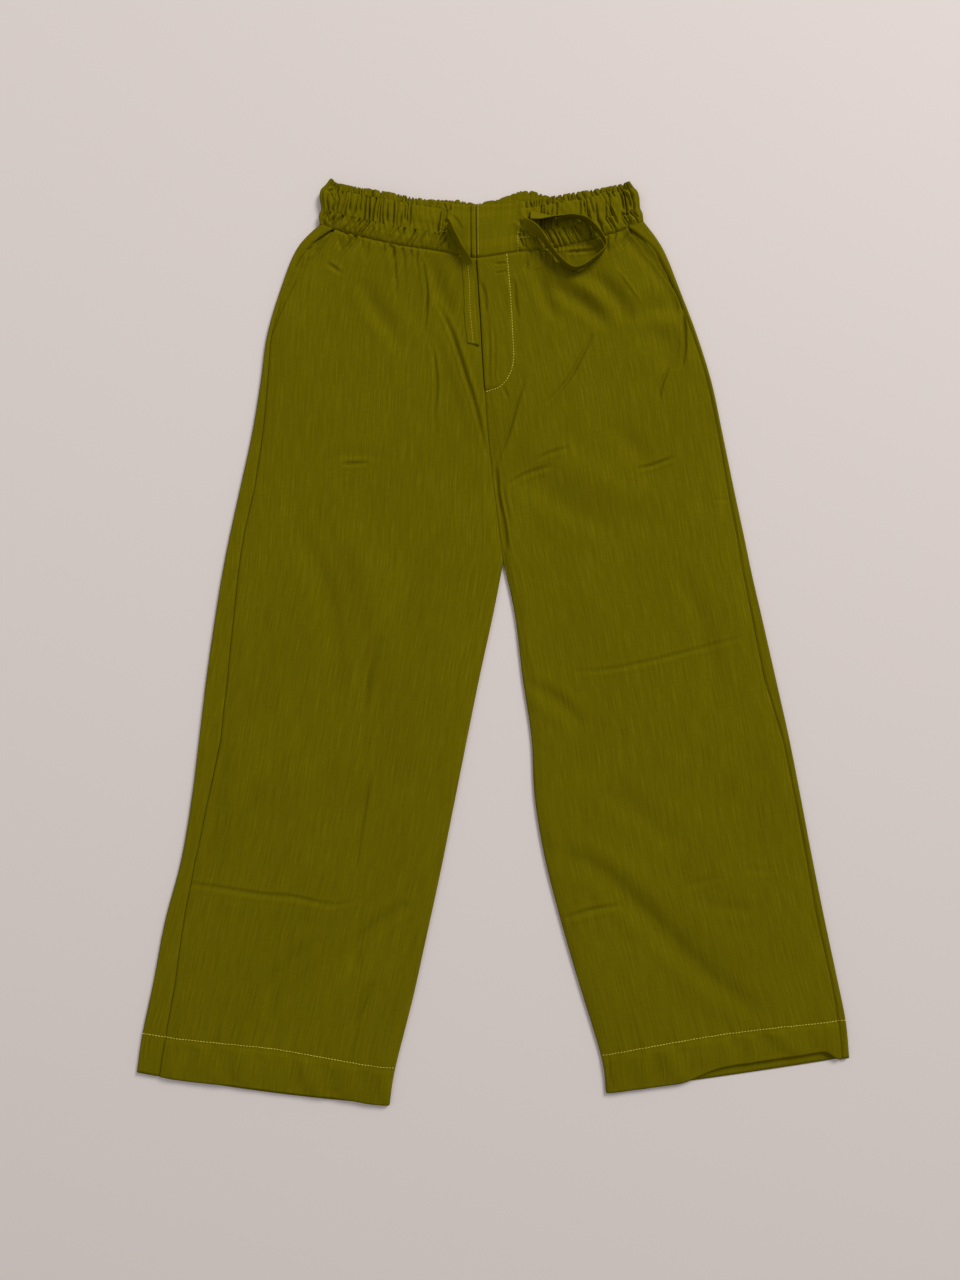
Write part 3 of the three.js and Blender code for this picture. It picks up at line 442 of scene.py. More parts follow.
def grid(*coordinates):
    return np.stack(coordinates, axis=-1)


def travel(points):
    """How far along a line of points each of them lies."""
    steps = np.linalg.norm(np.diff(points, axis=0), axis=1)
    return np.concatenate([[0], np.cumsum(steps)])


def wall(sizes):
    """The thickness of one layer of cloth in millimetres, to the thousandth."""
    return round(sizes.cloth / MM, 3)


def through(points, at):
    """A smooth curve through points, read at places counted in points."""
    p = np.asarray(points, float)
    at = np.asarray(at, float)
    i = np.clip(np.floor(at).astype(int), 0, len(p) - 2)
    t = (at - i)[..., None]
    before = p[np.maximum(i - 1, 0)]
    start, end = p[i], p[i + 1]
    after = p[np.minimum(i + 2, len(p) - 1)]
    v0, v1 = (end - before) * 0.5, (after - start) * 0.5
    bend = (2 * start - 2 * end + v0 + v1) * t**3
    return bend + (-3 * start + 3 * end - 2 * v0 - v1) * t**2 + v0 * t + start


def column(table, columns, *names):
    rows = np.asarray(table, float)
    return rows[:, [columns.index(name) for name in names]]


def between(values, at):
    return np.interp(at, np.arange(len(values)), values)


def arc_places(curve, count, low, high, density=None):
    """Places along a curve, spaced evenly in length, or closer where density is higher."""
    fine = np.linspace(low, high, 4000)
    points = curve(fine)
    steps = np.linalg.norm(np.diff(points, axis=0), axis=1)
    if density is not None:
        steps = steps * density(fine[1:])
    travelled = np.concatenate([[0], np.cumsum(steps)])
    return np.interp(np.linspace(0, travelled[-1], count), travelled, fine)


def even_places(points, count):
    """Places on the curve through points, spaced evenly."""
    return arc_places(lambda at: through(points, at), count, 0, len(points) - 1)


def drape(x, y, seed, size, height):
    """A slow uneven swell, the way laid cloth never lies quite level."""
    draw = np.random.default_rng(seed)
    total = np.zeros_like(x)
    for _ in range(7):
        angle, phase = draw.uniform(0, 2 * math.pi, 2)
        length = size * draw.uniform(0.6, 1.7)
        total += np.sin((x * math.cos(angle) + y * math.sin(angle)) * 2 * math.pi / length + phase)
    return height * total / 7


# The garment's layout


def outer_line(side, at):
    torso = column(TORSO, TORSO_COLUMNS, side + "_x", side + "_y")
    leg = column(LEGS[side], LEG_COLUMNS, "outer_x", "outer_y")
    return through(np.concatenate([torso, leg]), at)


def inner_line(side, at):
    centre = column(TORSO, TORSO_COLUMNS, "centre_x", "centre_y")
    leg = column(LEGS[side], LEG_COLUMNS, "inner_x", "inner_y")
    inseam = np.concatenate([centre[-1:], leg])
    at = np.asarray(at, float)
    upper = through(centre, np.minimum(at, CROTCH))
    lower = through(inseam, np.maximum(at - CROTCH, 0))
    return np.where((at <= CROTCH)[..., None], upper, lower)


def band_seam(place):
    return through(column(BAND, BAND_COLUMNS, "seam_x", "seam_y"), place)


def band_top(place):
    return through(column(BAND, BAND_COLUMNS, "top_x", "top_y"), place)


SEAM_CURVE = band_seam(np.linspace(0, len(BAND) - 1, 3000))


def waist_y(x):
    return np.interp(x, SEAM_CURVE[:, 0], SEAM_CURVE[:, 1])


class Section:
    """Sections across one half: arrays over places from the waist seam to the hem edge."""

    def __init__(self, side, at):
        self.side = side
        self.at = np.asarray(at, float)
        self.outer = outer_line(side, self.at)
        inner = inner_line(side, self.at)
        self.width = np.linalg.norm(inner - self.outer, axis=-1)
        self.along = (inner - self.outer) / self.width[..., None]
        bows = np.concatenate([
            column(TORSO, TORSO_COLUMNS, side + "_bow")[:, 0],
            column(LEGS[side], LEG_COLUMNS, "bow")[:, 0],
        ])
        lies = column(TORSO, TORSO_COLUMNS, "lie")[:, 0]
        self.bow = between(bows, self.at)
        self.lie = between(lies, self.at)
        self.sewn = self.width - SEAM_GAP / 2
        self.side_seam = between(SIDE_SEAM[side], self.at)
        self.front_edge = between(FRONT_EDGE[side], self.at)

    def point(self, inset):
        """x and y of the points that lie an inset in from the outer edge."""
        share = inset / self.width
        x = self.outer[..., 0] + self.along[..., 0] * inset
        chord = self.outer[..., 1] + self.along[..., 1] * inset
        first = outer_line(self.side, 0)
        last = inner_line(self.side, 0)
        waist_sag = mix(first[1], last[1], share) - waist_y(mix(first[0], last[0], share))
        sag = 4 * self.bow * share * (1 - share)
        return x, chord - mix(waist_sag, sag, smooth(self.at, 0, 2))


def hem_line(side, share):
    """The place of the hem's stitching across a leg: it bows up towards the knee."""
    return HEM_STITCHING - HEM_BOW[side] * np.sin(math.pi * np.clip(share, 0, 1)) ** 2


def hem_step(section, inset):
    stitching = hem_line(section.side, inset / section.width)
    return HEM_DOUBLE * smooth(section.at, stitching - 0.02, stitching + 0.1)


def crease_height(x, y, creases):
    """The summed height of the listed creases over the points x, y. Each is highest on its line,
    with a faint hollow on either side."""
    total = np.zeros_like(x)
    for _, height, left, right, line, *start in creases:
        bends = through(line, np.linspace(0, len(line) - 1, 6 * (len(line) - 1) + 1))
        reach = 4 * max(left, right)
        low, high = bends.min(axis=0) - reach, bends.max(axis=0) + reach
        near = (x > low[0]) & (x < high[0]) & (y > low[1]) & (y < high[1])
        if not near.any():
            continue
        px, py = x[near], y[near]
        closest, offset, travelled = (np.full(px.shape, value) for value in (np.inf, 0.0, 0.0))
        steps = np.linalg.norm(np.diff(bends, axis=0), axis=1)
        whole = steps.sum()
        before = 0.0
        for (ax, ay), (bx, by), step in zip(bends[:-1], bends[1:], steps):
            dx, dy = (bx - ax) / step, (by - ay) / step
            along = np.clip((px - ax) * dx + (py - ay) * dy, 0, step)
            gap = np.hypot(px - ax - along * dx, py - ay - along * dy)
            better = gap < closest
            sign = np.sign((px - ax) * dy - (py - ay) * dx)
            closest = np.where(better, gap, closest)
            offset = np.where(better, gap * sign, offset)
            travelled = np.where(better, before + along, travelled)
            before += step
        share = np.clip(travelled / whole, 0, 1)
        fade = (1 - share) ** 0.8 if start else np.sin(math.pi * 0.999 * share) ** 0.6
        across = np.abs(offset) / np.where(offset > 0, right, left)
        sharp = np.exp(-across**2) - 0.3 * hump(across - 2, 0.9)
        total[near] += height * fade * sharp
    return total


def seam_gathers(x, below, seed):
    """The short sharp gathers that run down from the waist seam, uneven in length and depth."""
    draw = np.random.default_rng(seed)
    places = np.cumsum(draw.uniform(2.6, 7.2, 90)) - 210
    total = 0.5 * hump(below - 5, 5) * np.ones_like(x)
    for place in places:
        depth, reach, wide, lean = draw.uniform((0.5, 5, 0.9, -0.25), (2.1, 30, 1.7, 0.25))
        across = (x - place - lean * below) / (wide + 0.05 * below)
        total = total - depth * np.exp(-across**2) * (1 - smooth(below, 0.3 * reach, reach))
    return total * (1 - smooth(below, 24, 34))


def front_height(section, inset, x, y, creases, seed):
    """The upper face of a front panel."""
    side = section.side
    from_edge = inset - section.front_edge
    from_inner = section.width - inset
    below_waist = waist_y(x) - y
    step = hem_step(section, inset)
    lowest = 2 * CLOTH + 0.1 + 0.5 * step
    calm = smooth(from_edge, 2, 16) * smooth(from_inner, 1, 12) * smooth(below_waist, 4, 30)
    calm = calm * (1 - 0.85 * smooth(section.at, HEM_STITCHING + 0.2, HEM_EDGE))
    full = section.lie + calm * (1.1 + drape(x, y, seed, size=120, height=1.3))
    full += crease_height(x, y, creases) * mix(0.35, 1, smooth(from_inner, 0.5, 5))
    # The band holds the panel up, so it slopes down from the waist seam.
    full += 1.4 * hump(below_waist, 25) * smooth(from_edge, 4, 22)
    # The cloth ripples a little along the side seam, and is drawn in by the hem's stitching.
    full += drape(y, 0 * y, seed + 5, RIPPLE_LENGTH, height=0.5) * hump(from_edge, 9)
    from_stitch = (hem_line(side, inset / section.width) - section.at) * HEM_DEPTH
    pucker = drape(x, y * 0.3, seed + 9, size=15, height=0.9)
    full += pucker * hump(from_stitch, 9)
    full -= 0.45 * hump(from_stitch, 1.2)
    in_hem = smooth(-from_stitch, 0, 6) * (1 - 0.6 * smooth(section.at, HEM_EDGE - 0.3, HEM_EDGE))
    waves = drape(x, y * 0.35, seed + 11, size=22, height=1.9)
    full += in_hem * waves * smooth(from_edge, 1, 8)
    plain = 46 if side == "right" else FLY_WIDTH + 6
    gathered = smooth(from_inner, plain, plain + 16) * smooth(from_edge, 2, 14)
    full += gathered * seam_gathers(x, below_waist, seed + 3)
    # Edges roll down into the seams, and the pocket's mouth gapes.
    pocket = 1 - smooth(section.at, 2.2, 3)
    full -= 1.0 * (1 - pocket) * hump(from_edge, SEAM_ROLL)
    gape = mix(2.4, 1.3, smooth(section.at, 0.2, 2))
    full += gape * pocket * hump(from_edge, 4.5)
    torso = 1 - smooth(section.at, CROTCH - 0.3, CROTCH)
    full -= 0.9 * torso * hump(from_inner, SEAM_ROLL)
    # The cloth is drawn into the crotch beside the front seam.
    drawn_in = smooth(section.at, 5.6, 7.2) * (1 - smooth(section.at, CROTCH, CROTCH + 0.8))
    full -= (2.4 if side == "left" else 0.6) * drawn_in * hump(from_inner, 3.2)
    full -= 1.5 * hump(below_waist - 0.1, 1.6)
    # It never sinks through the back, and its inner edge turns under on the legs.
    full = lowest + 0.35 * np.logaddexp(0, (full - lowest) / 0.35) + step
    opened = smooth(section.at, CROTCH - 0.2, CROTCH + 0.6)
    inner = np.clip(from_inner / INSEAM_ROUND, 0, 1)
    turned = lowest + (full - lowest) * np.sqrt(np.maximum(0, 1 - (1 - inner) ** 2))
    return mix(full, turned, opened)


# Meshes


def grid_faces(index, turned):
    """The faces between the points of a grid, from the points' numbers."""
    a, b, c, d = index[:-1, :-1], index[:-1, 1:], index[1:, 1:], index[1:, :-1]
    quads = grid(a, b, c, d) if turned else grid(d, c, b, a)
    return quads.reshape(-1, 4).tolist()


def shell(name, outer, inner, every, uv):
    """A closed wall of cloth. outer is a grid of points, inner the points under every few of them
    in both directions, and uv the weft and warp places of the outer points, in millimetres."""
    low = inner[::every, ::every]
    points = np.concatenate([outer.reshape(-1, 3), low.reshape(-1, 3)])
    top = np.arange(outer[..., 0].size).reshape(outer.shape[:2])
    under = top.size + np.arange(low[..., 0].size).reshape(low.shape[:2])
    faces = grid_faces(top, True) + grid_faces(under, False)

    def rim(upper, lower, turned):
        for k in range(len(lower) - 1):
            face = list(upper[k * every : (k + 1) * every + 1]) + [lower[k + 1], lower[k]]
            faces.append([int(i) for i in (face if turned else face[::-1])])

    rim(top[0], under[0], False)
    rim(top[-1], under[-1], True)
    rim(top[:, 0], under[:, 0], True)
    rim(top[:, -1], under[:, -1], False)
    places = np.concatenate([uv.reshape(-1, 2), uv[::every, ::every].reshape(-1, 2)])
    return mesh_object(name, points, faces, places)


def mesh_object(name, points, faces, places=None):
    """An object at the origin from points in millimetres, faces turned outwards."""
    mesh = bpy.data.meshes.new(name)
    mesh.from_pydata((np.asarray(points, float) * MM).tolist(), [], faces)
    mesh.polygons.foreach_set("use_smooth", [True] * len(faces))
    mesh.calc_loop_triangles()
    corners = np.empty(3 * len(mesh.loop_triangles), int)
    mesh.loop_triangles.foreach_get("vertices", corners)
    a, b, c = np.asarray(points, float)[corners.reshape(-1, 3).T]
    if (a * np.cross(b, c)).sum() < 0:
        mesh.flip_normals()
    if places is not None:
        layer = mesh.uv_layers.new(name="weave")
        corners = np.empty(len(mesh.loops), int)
        mesh.loops.foreach_get("vertex_index", corners)
        layer.data.foreach_set("uv", (np.asarray(places)[corners] * MM).ravel())
    mesh.update()
    piece = bpy.data.objects.new(name, mesh)
    bpy.context.scene.collection.objects.link(piece)
    return piece


def lowest_near(z, every):
    """The lowest height round each sampled point of a grid, so that a wall's inner side stays under
    its outer one."""
    padded = np.pad(z, every, mode="edge")
    rows, columns = z.shape
    found = np.full(z.shape, 1e9)
    for i in range(0, 2 * every + 1, 2):
        for j in range(0, 2 * every + 1, 2):
            found = np.minimum(found, padded[i : i + rows, j : j + columns])
    return found


# The panels, the facings and the fly


def weave_places(section, inset):
    """Weft and warp places: across the leg from its middle, and down it."""
    fine = np.linspace(0, HEM_EDGE, 800)
    warp = np.interp(section.at, fine, travel(outer_line(section.side, fine)))
    return grid(*np.broadcast_arrays(inset - section.width / 2, warp))


def leg_rows(side, count, closer):
    """Places of grid rows down a leg, so many times closer together near the waist."""

    def density(at):
        return mix(closer, 1, smooth(at, 3, 5))

    return arc_places(lambda at: outer_line(side, at), count, 0, HEM_EDGE, density)


def packed(count):
    """Shares from 0 to 1, closer together at both ends."""
    even = np.linspace(0, 1, count)
    return mix(even, (1 - np.cos(math.pi * even)) / 2, 0.35)


def hem_short(side, share):
    """How far the front's hem lies above the back's, across a leg."""
    most, grows, full, dies, gone = HEM_SHORT[side]
    return most * smooth(share, grows, full) * (1 - smooth(share, dies, gone))


def front_panel(side, sizes):
    """A front panel, from the pocket's mouth and side seam to the front seam and inseam."""
    every = 4
    rows, columns = FRONT_GRID
    at = leg_rows(side, rows, CLOSER_FRONT)[:, None]
    section = Section(side, at)
    share = packed(columns)[None, :]
    inset = mix(section.front_edge, section.sewn, share)
    x, y = section.point(inset)
    z = front_height(section, inset, x, y, CREASES[side], SEEDS[side])
    y = y + smooth(at, HEM_STITCHING, HEM_EDGE) * hem_short(side, inset / section.width)
    y[0] -= SEAM_GAP / 2
    outer = grid(x, y, z)
    inner = grid(x, y, np.maximum(lowest_near(z, every) - wall(sizes), CLOTH + 0.05))
    return shell("front_panel_" + side, outer, inner, every, weave_places(section, inset))


def back_panel(side, sizes):
    """A back panel: flat underneath, curled round the leg's outer edge, and over to the side seam."""
    at = leg_rows(side, BACK_ROWS, CLOSER_BACK)[:, None]
    section = Section(side, at)
    radius = section.lie / 2
    thick = wall(sizes)
    flat = np.linspace(1, 0, BACK_UNDER)[None, :]
    angle = np.linspace(0, math.pi, BACK_ROUND)[None, 1:]
    strip = packed(BACK_OVER)[None, 1:]
    under = mix(radius, section.sewn, flat)
    over = mix(radius, section.side_seam, strip)
    inside = radius - thick
    inset = np.concatenate([under, radius - radius * np.sin(angle), over], axis=1)
    inset_in = np.concatenate([under, radius - inside * np.sin(angle), over], axis=1)
    x, y = section.point(inset)
    x_in, y_in = section.point(inset_in)
    from_seam = section.side_seam - over
    ripple = drape(y[:, -over.shape[1] :], 0 * over, SEEDS[side] + 5, RIPPLE_LENGTH, height=0.45)
    top = section.lie + ripple * smooth(over - radius, 0, 4) - 1.0 * hump(from_seam, SEAM_ROLL)
    flat_x, flat_y = x[:, : under.shape[1]], y[:, : under.shape[1]]
    clear = smooth(under, 8, 26) * smooth(section.width - under, 3, 16)
    lift = np.maximum(0, crease_height(flat_x, flat_y, HIDDEN_CREASES[side])) * clear
    z = np.concatenate([lift, radius - radius * np.cos(angle), top], axis=1)
    z_in = np.concatenate([lift + thick, radius - inside * np.cos(angle), top - thick], axis=1)
    y[0] -= SEAM_GAP / 2
    y_in[0] -= SEAM_GAP / 2
    outer = grid(x, y, z)
    inner = grid(x_in, y_in, z_in)
    return shell("back_panel_" + side, outer, inner, 1, weave_places(section, inset))


def pocket_facing(side, sizes):
    """What shows of a pocket's inside through its mouth, tucked a little under the front."""
    rows, columns = FACING_GRID
    at = np.linspace(*FACING_REACH, rows)[:, None]
    section = Section(side, at)
    start = np.maximum(section.side_seam - 2, section.lie / 2 + 0.6)
    inset = mix(start, section.front_edge + POCKET_TUCK, np.linspace(0, 1, columns)[None, :])
    x, y = section.point(inset)
    z = section.lie - CLOTH - LAP_GAP + drape(x, y, SEEDS[side] + 7, size=15, height=0.7)
    # It sinks under the pocket's mouth near the waist, and under the front at the lower end.
    sunk = 2.2 * (1 - smooth(at, 0.9, 2.2)) * hump(inset - section.front_edge, 7)
    z = z - sunk - 1.4 * smooth(at, 2.3, 3.0) + crease_height(x, y, FACING_CREASES[side])
    z = np.maximum(z, CLOTH + wall(sizes) + 0.1)
    outer = grid(x, y, z)
    inner = grid(x, y, z - wall(sizes))
    return shell("pocket_facing_side_" + side, outer, inner, 4, weave_places(section, inset))


def fly_sections(share):
    """Sections of the left front, at shares of the fly's length down the front seam."""
    fine = np.linspace(0, CROTCH, 2000)
    centre = inner_line("left", fine)
    y = centre[0, 1] - share * FLY_LENGTH
    return Section("left", np.interp(-y, -centre[:, 1], fine))


def fly_width(share):
    """How wide the fly is at shares of its length: straight, then rounded off at the foot."""
    round_foot = np.sqrt(1 - np.clip((share - FLY_STRAIGHT) / (1 - FLY_STRAIGHT), 0, 1) ** 2)
    return FLY_TIP + (FLY_WIDTH - FLY_TIP) * round_foot


def fly_piece(sizes):
    """The mock fly: a second layer on the left front, from the J of stitching to the front seam."""
    rows, columns = FLY_GRID
    share = np.linspace(0.008, 0.988, rows)[:, None]
    section = fly_sections(share)
    width = fly_width(share)
    inset = section.sewn - width * (1 - packed(columns))[None, :]
    x, y = section.point(inset)
    floor = front_height(section, inset, x, y, CREASES["left"], SEEDS["left"])
    from_j = inset - (section.sewn - width)
    from_seam = section.sewn - inset
    ends = smooth(share, 0, 0.02) * (1 - smooth(share, 0.955, 0.988))
    raise_by = 0.95 * smooth(from_j, 0, 2.6) * ends - 0.4 * hump(from_seam, 0.8)
    edge = 0.35 * hump(from_seam - 2.4, 1.6)
    creases = crease_height(x, y, FLY_CREASES) * smooth(from_j, 0, 4)
    # The fly's folded edge stands over the front seam's dip.
    dip = 0.9 * hump(from_seam, SEAM_ROLL)
    z = np.maximum(floor + dip + 0.3 + raise_by + edge + creases, floor + 0.22)
    outer = grid(x, y, z)
    inner = grid(x, y, floor + 0.12)
    return shell("fly_layer", outer, inner, 4, weave_places(section, inset))


# The waistband


class Gathers:
    """Gathers of one run of cloth: uneven ridges between sharp valleys, in zones that the rows of
    stitching part from each other."""

    # From and to, spacing, slant over the zone, height, and the height left at its lower and upper row
    ZONES = (
        (0.0, LOWER_STITCHING, 4.6, 7.0, 3.2, 0.5, 1.25),
        (LOWER_STITCHING, UPPER_STITCHING, 5.2, 1.6, 4.2, 0.96, 0.8),
        (UPPER_STITCHING, 1.3, 3.8, 0.8, 3.2, 1.0, 1.0),
    )
    LEAST_GAP = 2.3
    LEAST_LEANING_GAP = 1.5

    def __init__(self, seed, low, high, lean):
        draw = np.random.default_rng(seed)
        self.zones = []
        for start, end, spacing, slant, height, lower, upper in self.ZONES:
            count = int((high - low) / spacing) + 12
            gaps = np.maximum(self.LEAST_GAP, spacing * (0.3 + draw.exponential(0.85, count)))
            lines = low - 5 * spacing + np.cumsum(gaps)
            depth = draw.uniform(0.4, 1.0, count)
            tilt = lean * slant + draw.normal(0, 1.4, count)
            phase = draw.uniform(0, 6.28, count)
            # Some valleys run right across the zone and others only part of the way.
            spans = draw.uniform((-0.8, 0.55), (0.45, 1.8), (count, 2)).T
            self.zones.append((start, end, lines, depth, tilt, phase, spans, height, lower, upper))

    def height(self, along, up):
        """Heights, from 0 in a valley to about 2, at distances along and shares up the band."""
        along, up = np.broadcast_arrays(along, up)
        total = np.zeros(up.shape)
        for r, row in enumerate(along):
            level = up[r].mean()
            for start, end, lines, depth, tilt, phase, (begins, ends), height, lower, upper in self.zones:
                if not start <= level < end:
                    continue
                v = (level - start) / (min(end, 1.0) - start)
                valleys = lines + tilt * (v - 0.5) + 0.7 * np.sin(4 * v + phase)
                there = smooth(v, begins - 0.2, begins + 0.1) * (1 - smooth(v, ends - 0.1, ends + 0.2))
                deep = depth * mix(0.12, 1, there)
                # Valleys that lean towards each other never cross.
                least = self.LEAST_LEANING_GAP * np.arange(len(valleys))
                valleys = np.maximum.accumulate(valleys - least) + least
                i = np.clip(np.searchsorted(valleys, row) - 1, 0, len(valleys) - 2)
                gap = np.maximum(valleys[i + 1] - valleys[i], 0.8)
                t = np.clip((row - valleys[i]) / gap, 0, 1)
                local = mix(deep[i], deep[i + 1], smooth(t, 0.3, 0.7)) * np.minimum(1, gap / 3.4)
                # A narrow sharp valley, then a nearly flat top
                from_valley = np.minimum(t, 1 - t) * gap
                ridge = 0.62 * (1 - np.exp(-((from_valley / 1.1) ** 1.7))) + 0.38 * 4 * t * (1 - t)
                hold = mix(lower, upper, min(v, 1.0))
                if end <= 1:
                    hold = max(hold, math.sin(math.pi * v) ** 0.5)
                total[r] = height * hold * (1 - local * (1 - ridge))
        return total


def band_point(place, up):
    """x and y of a point of the waistband at a place along it and a share up it."""
    seam, top = band_seam(place), band_top(place)
    to_right = 1 - smooth(place, RIGHT_EDGE, RIGHT_SEAM + 0.6)
    to_left = smooth(place, LEFT_SEAM - 0.6, LEFT_EDGE)
    profile = np.stack([BAND_UP, BAND_PUFF], axis=1)
    fine_up, fine_puff = through(profile, np.linspace(0, len(BAND_UP) - 1, 200)).T
    swell = SIDE_PUFF["left"] * to_left - SIDE_PUFF["right"] * to_right
    x = mix(seam[..., 0], top[..., 0], up) + np.interp(up, fine_up, fine_puff) * swell
    y = mix(seam[..., 1], top[..., 1], up) + (up <= 0) * SEAM_GAP / 2
    return x, y


def band_level(up):
    return BAND_HEIGHT + np.interp(up, BAND_UP, BAND_LIFT)


def band_length(place):
    fine = np.linspace(0, len(BAND) - 1, 1500)
    return np.interp(place, fine, travel(band_seam(fine)))


def stitch_grooves(up):
    lower = hump((up - LOWER_STITCHING) * BAND_DEPTH, GROOVE)
    upper = hump((up - UPPER_STITCHING) * BAND_DEPTH, GROOVE)
    return -0.12 * lower - 0.3 * upper


def front_band(side, sizes):
    """Half of the waistband's front, gathered at the side and plain at the middle."""
    every = 2
    right = side == "right"
    edge, elastic, inward = (RIGHT_SEAM, RIGHT_ELASTIC, 1) if right else (LEFT_SEAM, LEFT_ELASTIC, -1)
    rows, columns = BAND_GRID
    place = arc_places(band_seam, columns, edge + 0.004 * inward, CENTRE - 0.006 * inward)[None, :]
    up = np.linspace(0, 1, rows)[:, None]
    along = band_length(place)
    x, y = band_point(place, up)
    heights = Gathers(SEEDS[side] + 20, low=0, high=360, lean=1.5 if right else -1).height(along, up)
    gathered = 1 - smooth((along - band_length(elastic)) * inward, -5, 5)
    z = band_level(up) + sizes.gathers * gathered * (heights - 2.0) + (1 - gathered) * 0.35
    z += stitch_grooves(up) * gathered
    # Its lower edge and its ends roll down into the seams.
    z -= 1.5 * hump(up * BAND_DEPTH, 1.5)
    z -= 0.8 * hump(np.abs(along - band_length(edge)), 1.2)
    z += drape(x, y, SEEDS[side] + 30, size=30, height=0.35)
    z += gathered * drape(x, y * 0.35, SEEDS[side] + 31, size=5, height=0.8)
    from_centre = np.abs(along - band_length(CENTRE))
    if right:
        # A narrow pressed fold lies along the middle of the band.
        z += 0.95 * smooth(from_centre, 0.7, 1.5) * (1 - smooth(from_centre, 4.4, 5.3))
        z -= 0.7 * hump(from_centre - 6, 0.9)
    z -= 0.9 * hump(from_centre, 1.0)
    z += crease_height(x, y, BAND_CREASES[side])
    z -= 0.5 * hump((1 - up) * BAND_DEPTH, 1.2)
    # The header stands up into a ruffle, so its edge waves.
    y = y + smooth(up, UPPER_STITCHING, 1) * gathered * 0.8 * (heights - 1.6)
    lowest = np.maximum(lowest_near(z, every) - FRONT_BAND_WALL, BACK_BAND_WALL + 0.3)
    places = grid(*np.broadcast_arrays(along * FULLNESS, up * BAND_DEPTH))
    return shell("waistband_front_half_" + side, grid(x, y, z), grid(x, y, lowest), every, places)


def back_band(sizes):
    """The back of the waistband: its flat run underneath, and a curl round each side edge."""
    up = np.linspace(0, 1, BACK_BAND_ROWS)[:, None]
    level = band_level(up)
    radius = level / 2
    inside = radius - BACK_BAND_WALL
    parts = []

    def add(place, z, place_in, z_in, bottom=0.0):
        shape = (BACK_BAND_ROWS, np.shape(place)[-1])
        parts.append([np.broadcast_to(a, shape) for a in (place, z, place_in, z_in, bottom)])

    def wrap(side, edge, seam, inward):
        per_place = abs(band_seam(seam)[0] - band_seam(edge)[0])
        share = np.linspace(1, 0.3, BACK_BAND_OVER)[None, :]
        strip = mix(edge, seam - 0.004 * inward, share)
        from_seam = (1 - share) * per_place
        seed = SEEDS["band"] + seam
        folds = Gathers(seed, low=-40, high=400, lean=inward).height(band_length(strip), up)
        x, y = band_point(strip, up)
        crinkle = drape(x * 0.7, y, seed, size=8, height=1.5)
        lift = sizes.gathers * (folds - 2.0 + crinkle) * smooth(share, 0.3, 0.45)
        top = level + lift + crease_height(x, y, BAND_CREASES[side]) - 0.8 * hump(from_seam, 1.2)
        angle = np.linspace(math.pi, 0, BACK_BAND_ROUND)[None, :]
        curl = edge + inward * (radius - radius * np.sin(angle)) / per_place
        curl_in = edge + inward * (radius - inside * np.sin(angle)) / per_place
        add(strip, top, strip, top - BAND_WALL)
        add(curl, radius - radius * np.cos(angle), curl_in, radius - inside * np.cos(angle))

    # From the right side seam round its edge, along the bottom, and round the left edge
    wrap("right", RIGHT_EDGE, RIGHT_SEAM, 1)
    place = arc_places(band_seam, BACK_BAND_UNDER, 0.42, 11.6)[None, :]
    gathers = Gathers(SEEDS["band"], low=-20, high=380, lean=-1)
    folds = gathers.height(band_length(place), up)
    calm = sizes.gathers * smooth(place, 0.4, 1.0) * (1 - smooth(place, 11, 11.6))
    lowered = BACK_BAND_WALL + calm * np.minimum(0.2, (folds - 2.3) * 0.5)
    add(place, calm * np.maximum(0, 2.1 - folds) * 0.6, place, lowered, 1.0)
    met = len(parts)
    wrap("left", LEFT_EDGE, LEFT_SEAM, -1)
    parts[met:] = [[a[:, ::-1] for a in part] for part in parts[:met - 1 : -1]]
    place, z, place_in, z_in, bottom = (np.concatenate(part, axis=1) for part in zip(*parts))
    rise = np.interp(place, PEEK_AT, PEEK_RISE) / PEEK_DEPTH * bottom
    ruffle = gathers.height(band_length(place[:1]), np.array([[0.98]]))
    lifted = up * (1 + rise) + smooth(up, UPPER_STITCHING, 1) * (ruffle - 1.8) * 0.016
    outer = grid(*band_point(place, lifted), z)
    inner = grid(*band_point(place_in, lifted), z_in)
    places = grid(band_length(place) * FULLNESS, lifted * BAND_DEPTH)
    return shell("waistband_back_run", outer, inner, 1, places)


# The drawstring


def tie_line(route, width):
    """The middle line of a tie and its roll, from its route."""
    x, y, floor, turn = np.asarray(route, float).T
    roll = np.radians(turn)
    half = 0.5 * (width * np.sin(roll) + TIE_THICK * np.cos(roll))
    points = grid(x, y, floor + LAP_GAP + half)
    at = even_places(points, TIE_RINGS * (len(points) - 1) + 1)
    return through(points, at), between(roll, at)


